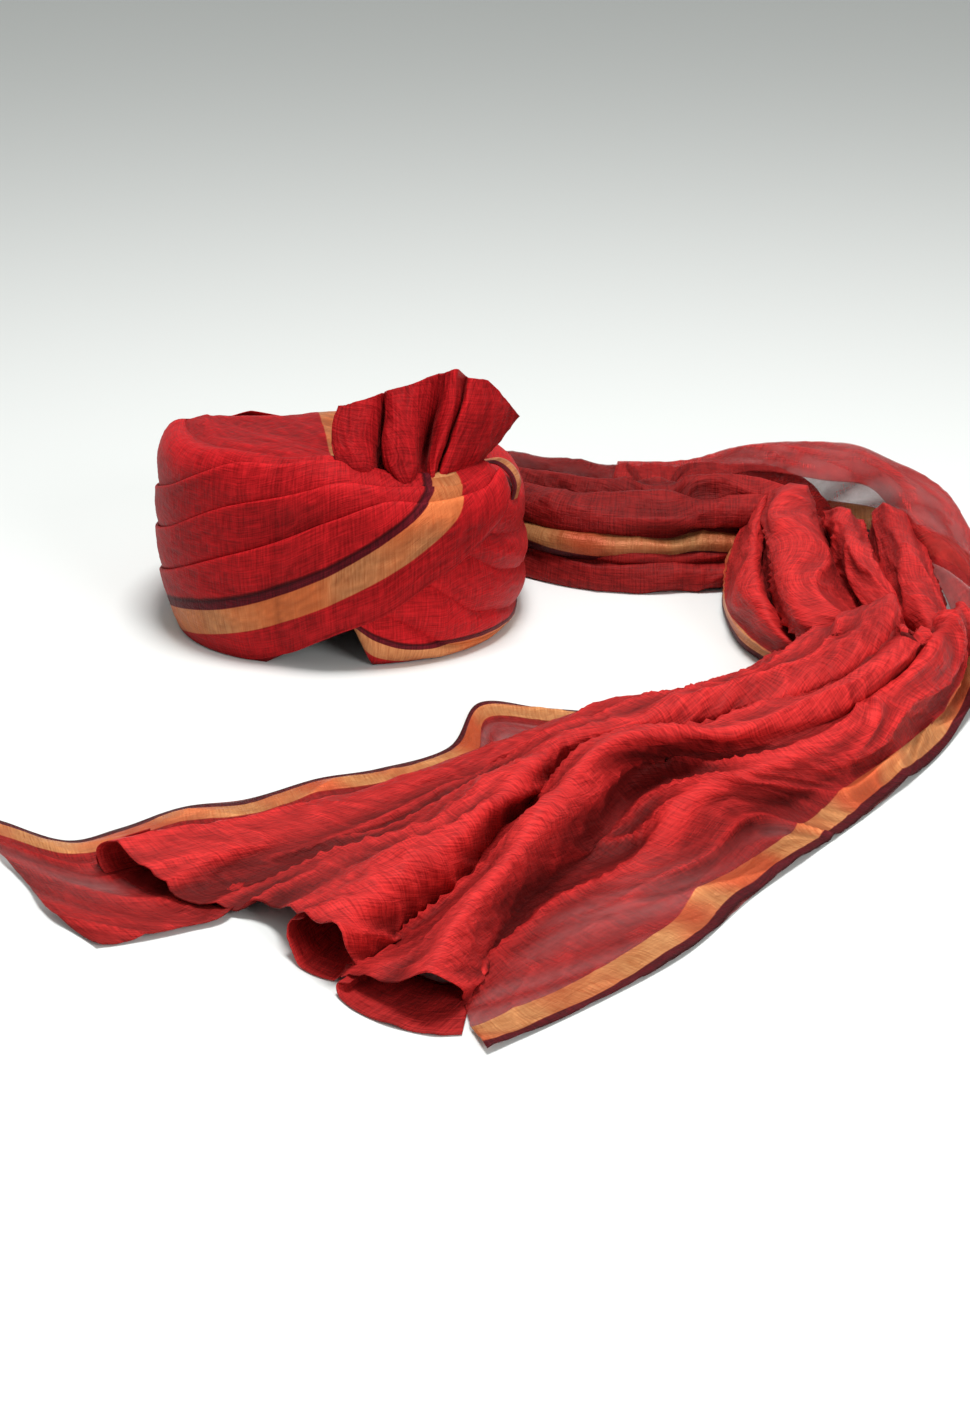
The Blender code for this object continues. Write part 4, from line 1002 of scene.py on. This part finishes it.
def seen_at(x, y, axis, value):
    """The point in millimetres that a pixel of the photo shows, where its value on one axis is known."""
    pitch = math.radians(90.0 - CAMERA_TILT)
    right, down = (x - PHOTO_WIDTH / 2) / FOCAL_PIXELS, (y - PHOTO_HEIGHT / 2) / FOCAL_PIXELS
    sine, cosine = math.sin(pitch), math.cos(pitch)
    ray = np.array([right, cosine - down * sine, -sine - down * cosine])
    camera = np.array(CAMERA_PLACE) * 1000
    return camera + ray * (value - camera[axis]) / ray[axis]


def tail_route():
    """The tail's route: share of its length, then x, y, both half widths and height in millimetres."""
    rows = []
    for angle, half_share, height_share in TAIL_HAT_ROWS:
        half = half_share * TAIL_FULL_WIDTH
        out = plan_radius(angle) * 1000 + WRAPS_DEPTH - TAIL_TUCK + half
        turn = math.radians(angle)
        height = height_share * TAIL_BUNDLE_HEIGHT
        rows.append((out * math.cos(turn), out * math.sin(turn), half, half, height))
    sizes = (TAIL_REACH_RIGHT, TAIL_REACH_FRONT, TAIL_FULL_WIDTH, TAIL_FULL_WIDTH, TAIL_BUNDLE_HEIGHT)
    rows = np.concatenate([rows, np.array(TAIL_ROWS) * sizes])
    along = np.concatenate([[0.0], np.cumsum(np.hypot(*np.diff(rows[:, :2], axis=0).T))])
    return np.column_stack([along / along[-1], rows])


def on_route(along, across, up):
    """A point in millimetres at shares along the tail's route, across it and of its height."""
    route = tail_route()
    x, y, inside, outside, height = on_curve(route, along)
    behind, ahead = (np.array(on_curve(route, along + step)[:2]) for step in (-ROUTE_STEP, ROUTE_STEP))
    heading = (ahead - behind) / np.linalg.norm(ahead - behind)
    half = across * (inside if across < 0 else outside)
    return x - heading[1] * half, y + heading[0] * half, up * height


def placed(rows):
    """The points of a tail table, to the millimetre, and to a tenth for heights under 4 mm."""
    made = []
    for row in rows:
        made.append([])
        for point in np.array(row, float).reshape(-1, 3):
            x, y, z = point
            found = on_route(x, y, z) if abs(x) < MOST_SHARE else seen_at(x, y, 2, z)
            x, y, z = map(float, found)
            made[-1].append((round(x), round(y), round(z, 0 if z >= 4 else 1)))
    return made


def spread_rows():
    """The spread's table with its hidden first row, and with folds that stand out more."""
    rows = np.array(TAIL_SPREAD, float).reshape(len(TAIL_SPREAD), -1, 3)
    right, down, share = SPREAD_UNDER
    under = rows[:1] * (1, 1, share) + (right, down, 0)
    under[..., 2] = np.maximum(under[..., 2], SPREAD_UNDER_LEAST)
    rows = np.concatenate([under, rows])
    height = rows[..., 2].copy()
    level = 0.25 * height[:, :-2] + 0.5 * height[:, 1:-1] + 0.25 * height[:, 2:]
    rows[:, 1:-1, 2] = np.maximum(level + SPREAD_GAIN * (height[:, 1:-1] - level), SPREAD_LEAST)
    return rows


def route_rows(folds, rows):
    """A tail table for folds that lie along the route."""
    made = []
    for along, width, height, *raised in rows:
        raised += [0] * (len(folds) - len(raised))
        made.append([(along, a * width, h * height + up) for (a, h), up in zip(folds, raised)])
    return made


def curved(values, steps):
    """An array with more rows, on smooth curves through the rows that it has."""
    where = np.linspace(0, len(values) - 1, (len(values) - 1) * steps + 1)
    i = np.minimum(where.astype(int), len(values) - 2)
    share = (where - i).reshape(-1, *[1] * (values.ndim - 1))
    slopes = np.gradient(values, axis=0)
    ease = smooth(share)
    return (
        values[i] * (1 - ease) + values[i + 1] * ease
        + slopes[i] * share * (1 - share) ** 2 - slopes[i + 1] * share ** 2 * (1 - share)
    )


def loft(rows, down, across, sheer=0.0):
    """A fine grid through a table of fold points, and its sheerness from values at the table's points."""
    table = np.array(rows, float)
    points = np.swapaxes(curved(np.swapaxes(curved(table / 1000, down), 0, 1), across), 0, 1)
    values = np.broadcast_to(np.array(sheer, float), table.shape[:2])
    values = np.swapaxes(curved(np.swapaxes(curved(values, down), 0, 1), across), 0, 1)
    return points, np.clip(values, 0, 1)


def selvedge(distance):
    """A border coordinate from the distance to the cloth's edge: maroon first, and then gold."""
    inner = 1 + (MAROON_WIDTH - distance) / GOLD_WIDTH
    outer = 1 + (MAROON_WIDTH - distance) / MAROON_WIDTH * MAROON_SPAN
    return np.clip(np.where(distance < MAROON_WIDTH, outer, inner), -NO_BORDER, NO_BORDER)


def tail_grid(rows, down, across, seed, sheer=0.0, wrinkle=1.0, edge=None, shift=0.0):
    """One layer of the tail with its wrinkles; edge says on which side its border lies, first or last."""
    points, thin = loft(placed(rows), down, across, sheer)
    along_m, across_m = distances(points, 0), distances(points, 1)
    along_m = along_m.mean(1, keepdims=True) + 0 * across_m
    bend = 0.02 * noise(along_m * 6, across_m * 6, seed + 5)
    folds = creases(along_m * 5 + 2.0, (across_m + bend) * 26, seed) ** 1.5 * TAIL_FOLD
    middle = creases(along_m * 22 + across_m * 16, across_m * 34 - along_m * 12, seed + 10) ** 1.5
    soft = noise(along_m * 14, across_m * 24, seed + 20) * TAIL_SOFT_FOLD
    fine = creases(along_m * 62 + across_m * 24, across_m * 74 - along_m * 30, seed + 30) * TAIL_CREASE
    place = np.linspace(0, 1, across_m.shape[1])[None, :]
    calm = (1 - 0.45 * thin) * (0.08 + 0.92 * smooth(place / 0.20))
    streak = creases(along_m * 7 + across_m * 12, across_m * 30 + along_m * 6, seed + 50)
    thin = thin * (1 - 0.5 * streak)
    rise = calm * (wrinkle * (folds + middle * TAIL_MIDDLE_FOLD + soft) + fine)
    points = points + normals(points) * rise[..., None]
    points[..., 2] = np.maximum(points[..., 2], TAIL_LOWEST)
    border = NO_BORDER + 0 * along_m
    waver = shift + BORDER_WAVER * noise(along_m * 20, 0 * along_m + 0.5, seed + 40)
    if edge == "first":
        border = selvedge(across_m - waver)
    if edge == "last":
        border = selvedge(across_m[:, -1:] - across_m - waver)
    return points, np.stack([along_m, across_m, border], -1), thin


def finish_tail(name, grids, material, dim=0.0):
    piece = make_sheet(name, grids, material, TAIL_CLOTH, TAIL_HOLLOWS, dim)
    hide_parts("tail")


def make_tail(material):
    lines = len(TAIL_SPREAD[0]) // 3
    spread_sheer = smooth((np.arange(lines)[None, :] - np.array(SPREAD_FLAT_FROM)[:, None]) / 2.0)
    spread = tail_grid(spread_rows(), 30, 7, 600, spread_sheer, 1.0, "last")
    finish_tail("tail_spread_cloth", [spread], material)
    hem_sheer = np.array([[0.5, 0.6, 0.9, 0.9, 0.5, 0.3]] * 12)
    hem_sheer[:4, 2:] = (1.0, 1.0, 1.0, 0.8)
    hem = tail_grid(TAIL_HEM, 18, 10, 640, hem_sheer, 0.6, "first")
    lower = [
        tail_grid(TAIL_ROLL_ONE, 10, 8, 650, 0.0, 0.4),
        tail_grid(TAIL_ROLL_TWO, 10, 8, 660, 0.0, 0.4),
        tail_grid(TAIL_POCKET, 10, 8, 670, 0.1, 0.4),
    ]
    finish_tail("tail_hem_cloth", [hem, *lower], material)
    turn = [
        tail_grid(TAIL_BULGE, 16, 10, 680, 0.05, 0.8, "first"),
        tail_grid(TAIL_RIDGE, 16, 10, 690, 0.05, 0.8),
        tail_grid(TAIL_PANEL, 16, 10, 700, 0.1, 0.8),
        tail_grid(TAIL_OUTER, 16, 10, 710, np.array([[1.0, 0.95, 0.9, 0.9, 0.9, 0.8]]), 0.6, "last"),
    ]
    finish_tail("tail_turn_cloth", turn, material)
    run_sheer = np.array([[0.1] * 12 + [0.7] * 6])
    run = [
        tail_grid(route_rows(RUN_FOLDS, RUN_ROWS), 20, 8, 720, run_sheer, 0.8, "first", RUN_BORDER_SHIFT),
        tail_grid(route_rows(UNDER_ROLL_FOLDS, UNDER_ROLL_ROWS), 20, 8, 730, 0.05, 0.8),
    ]
    # The run lies in shade behind the hat, and that shade is painted into its colour
    finish_tail("tail_run_cloth", run, material, RUN_PAINTED_SHADE)


def make_floor():
    mesh = bpy.data.meshes.new("floor")
    corners = [(x * FLOOR_REACH, y * FLOOR_REACH, 0) for x, y in ((-1, -1), (1, -1), (1, 1), (-1, 1))]
    mesh.from_pydata(corners, [], [(0, 1, 2, 3)])
    material = bpy.data.materials.new("pale_floor")
    material.use_nodes = True
    shader = material.node_tree.nodes["Principled BSDF"]
    shader.inputs["Base Color"].default_value = FLOOR_COLOUR
    shader.inputs["Roughness"].default_value = 0.6
    shader.inputs["Specular IOR Level"].default_value = 0.2
    mesh.materials.append(material)
    add_object("floor", mesh)


def make_light(name, place, size, power):
    light = bpy.data.lights.new(name, "AREA")
    light.shape = "DISK"
    light.size = size
    light.energy = power
    lamp = add_object(name, light)
    lamp.location = place
    x, y, z = np.array(place) - LIT_POINT
    lamp.rotation_euler = (math.atan2(math.hypot(x, y), z), 0.0, math.atan2(x, -y))


def make_camera():
    data = bpy.data.cameras.new("camera")
    data.sensor_fit = "VERTICAL"
    data.sensor_height = SENSOR_HEIGHT
    data.lens = FOCAL_PIXELS * SENSOR_HEIGHT / PHOTO_HEIGHT
    camera = add_object("camera", data)
    camera.location = np.array(HAT_CENTRE) + CAMERA_PLACE
    camera.rotation_euler = (math.radians(CAMERA_TILT), 0.0, 0.0)
    bpy.context.scene.camera = camera


def make_world():
    world = bpy.data.worlds.new("studio")
    world.use_nodes = True
    background = world.node_tree.nodes["Background"]
    background.inputs["Color"].default_value = WORLD_COLOUR
    background.inputs["Strength"].default_value = WORLD_STRENGTH
    bpy.context.scene.world = world


def main():
    bpy.context.scene.view_settings.view_transform = "Standard"
    make_camera()
    make_world()
    make_floor()
    make_light("key", *KEY_LIGHT)
    make_light("fill", *FILL_LIGHT)
    # The crown's cloth, darkened as painted shade
    wound = cloth_material("wound_cloth", SHADED_WOUND_REDS, HAT_LOOK)
    wrap = cloth_material("wrap_cloth", WRAP_REDS, HAT_LOOK)
    fan = cloth_material("fan_cloth", WRAP_REDS, HAT_LOOK)
    tail = cloth_material("tail_cloth", TAIL_REDS, TAIL_LOOK)
    make_crown(wound)
    make_left_wrap(wrap)
    make_right_wrap(wrap)
    make_top_wrap(wrap)
    make_fan(fan)
    make_back_loop(wrap)
    make_tail(tail)


main()
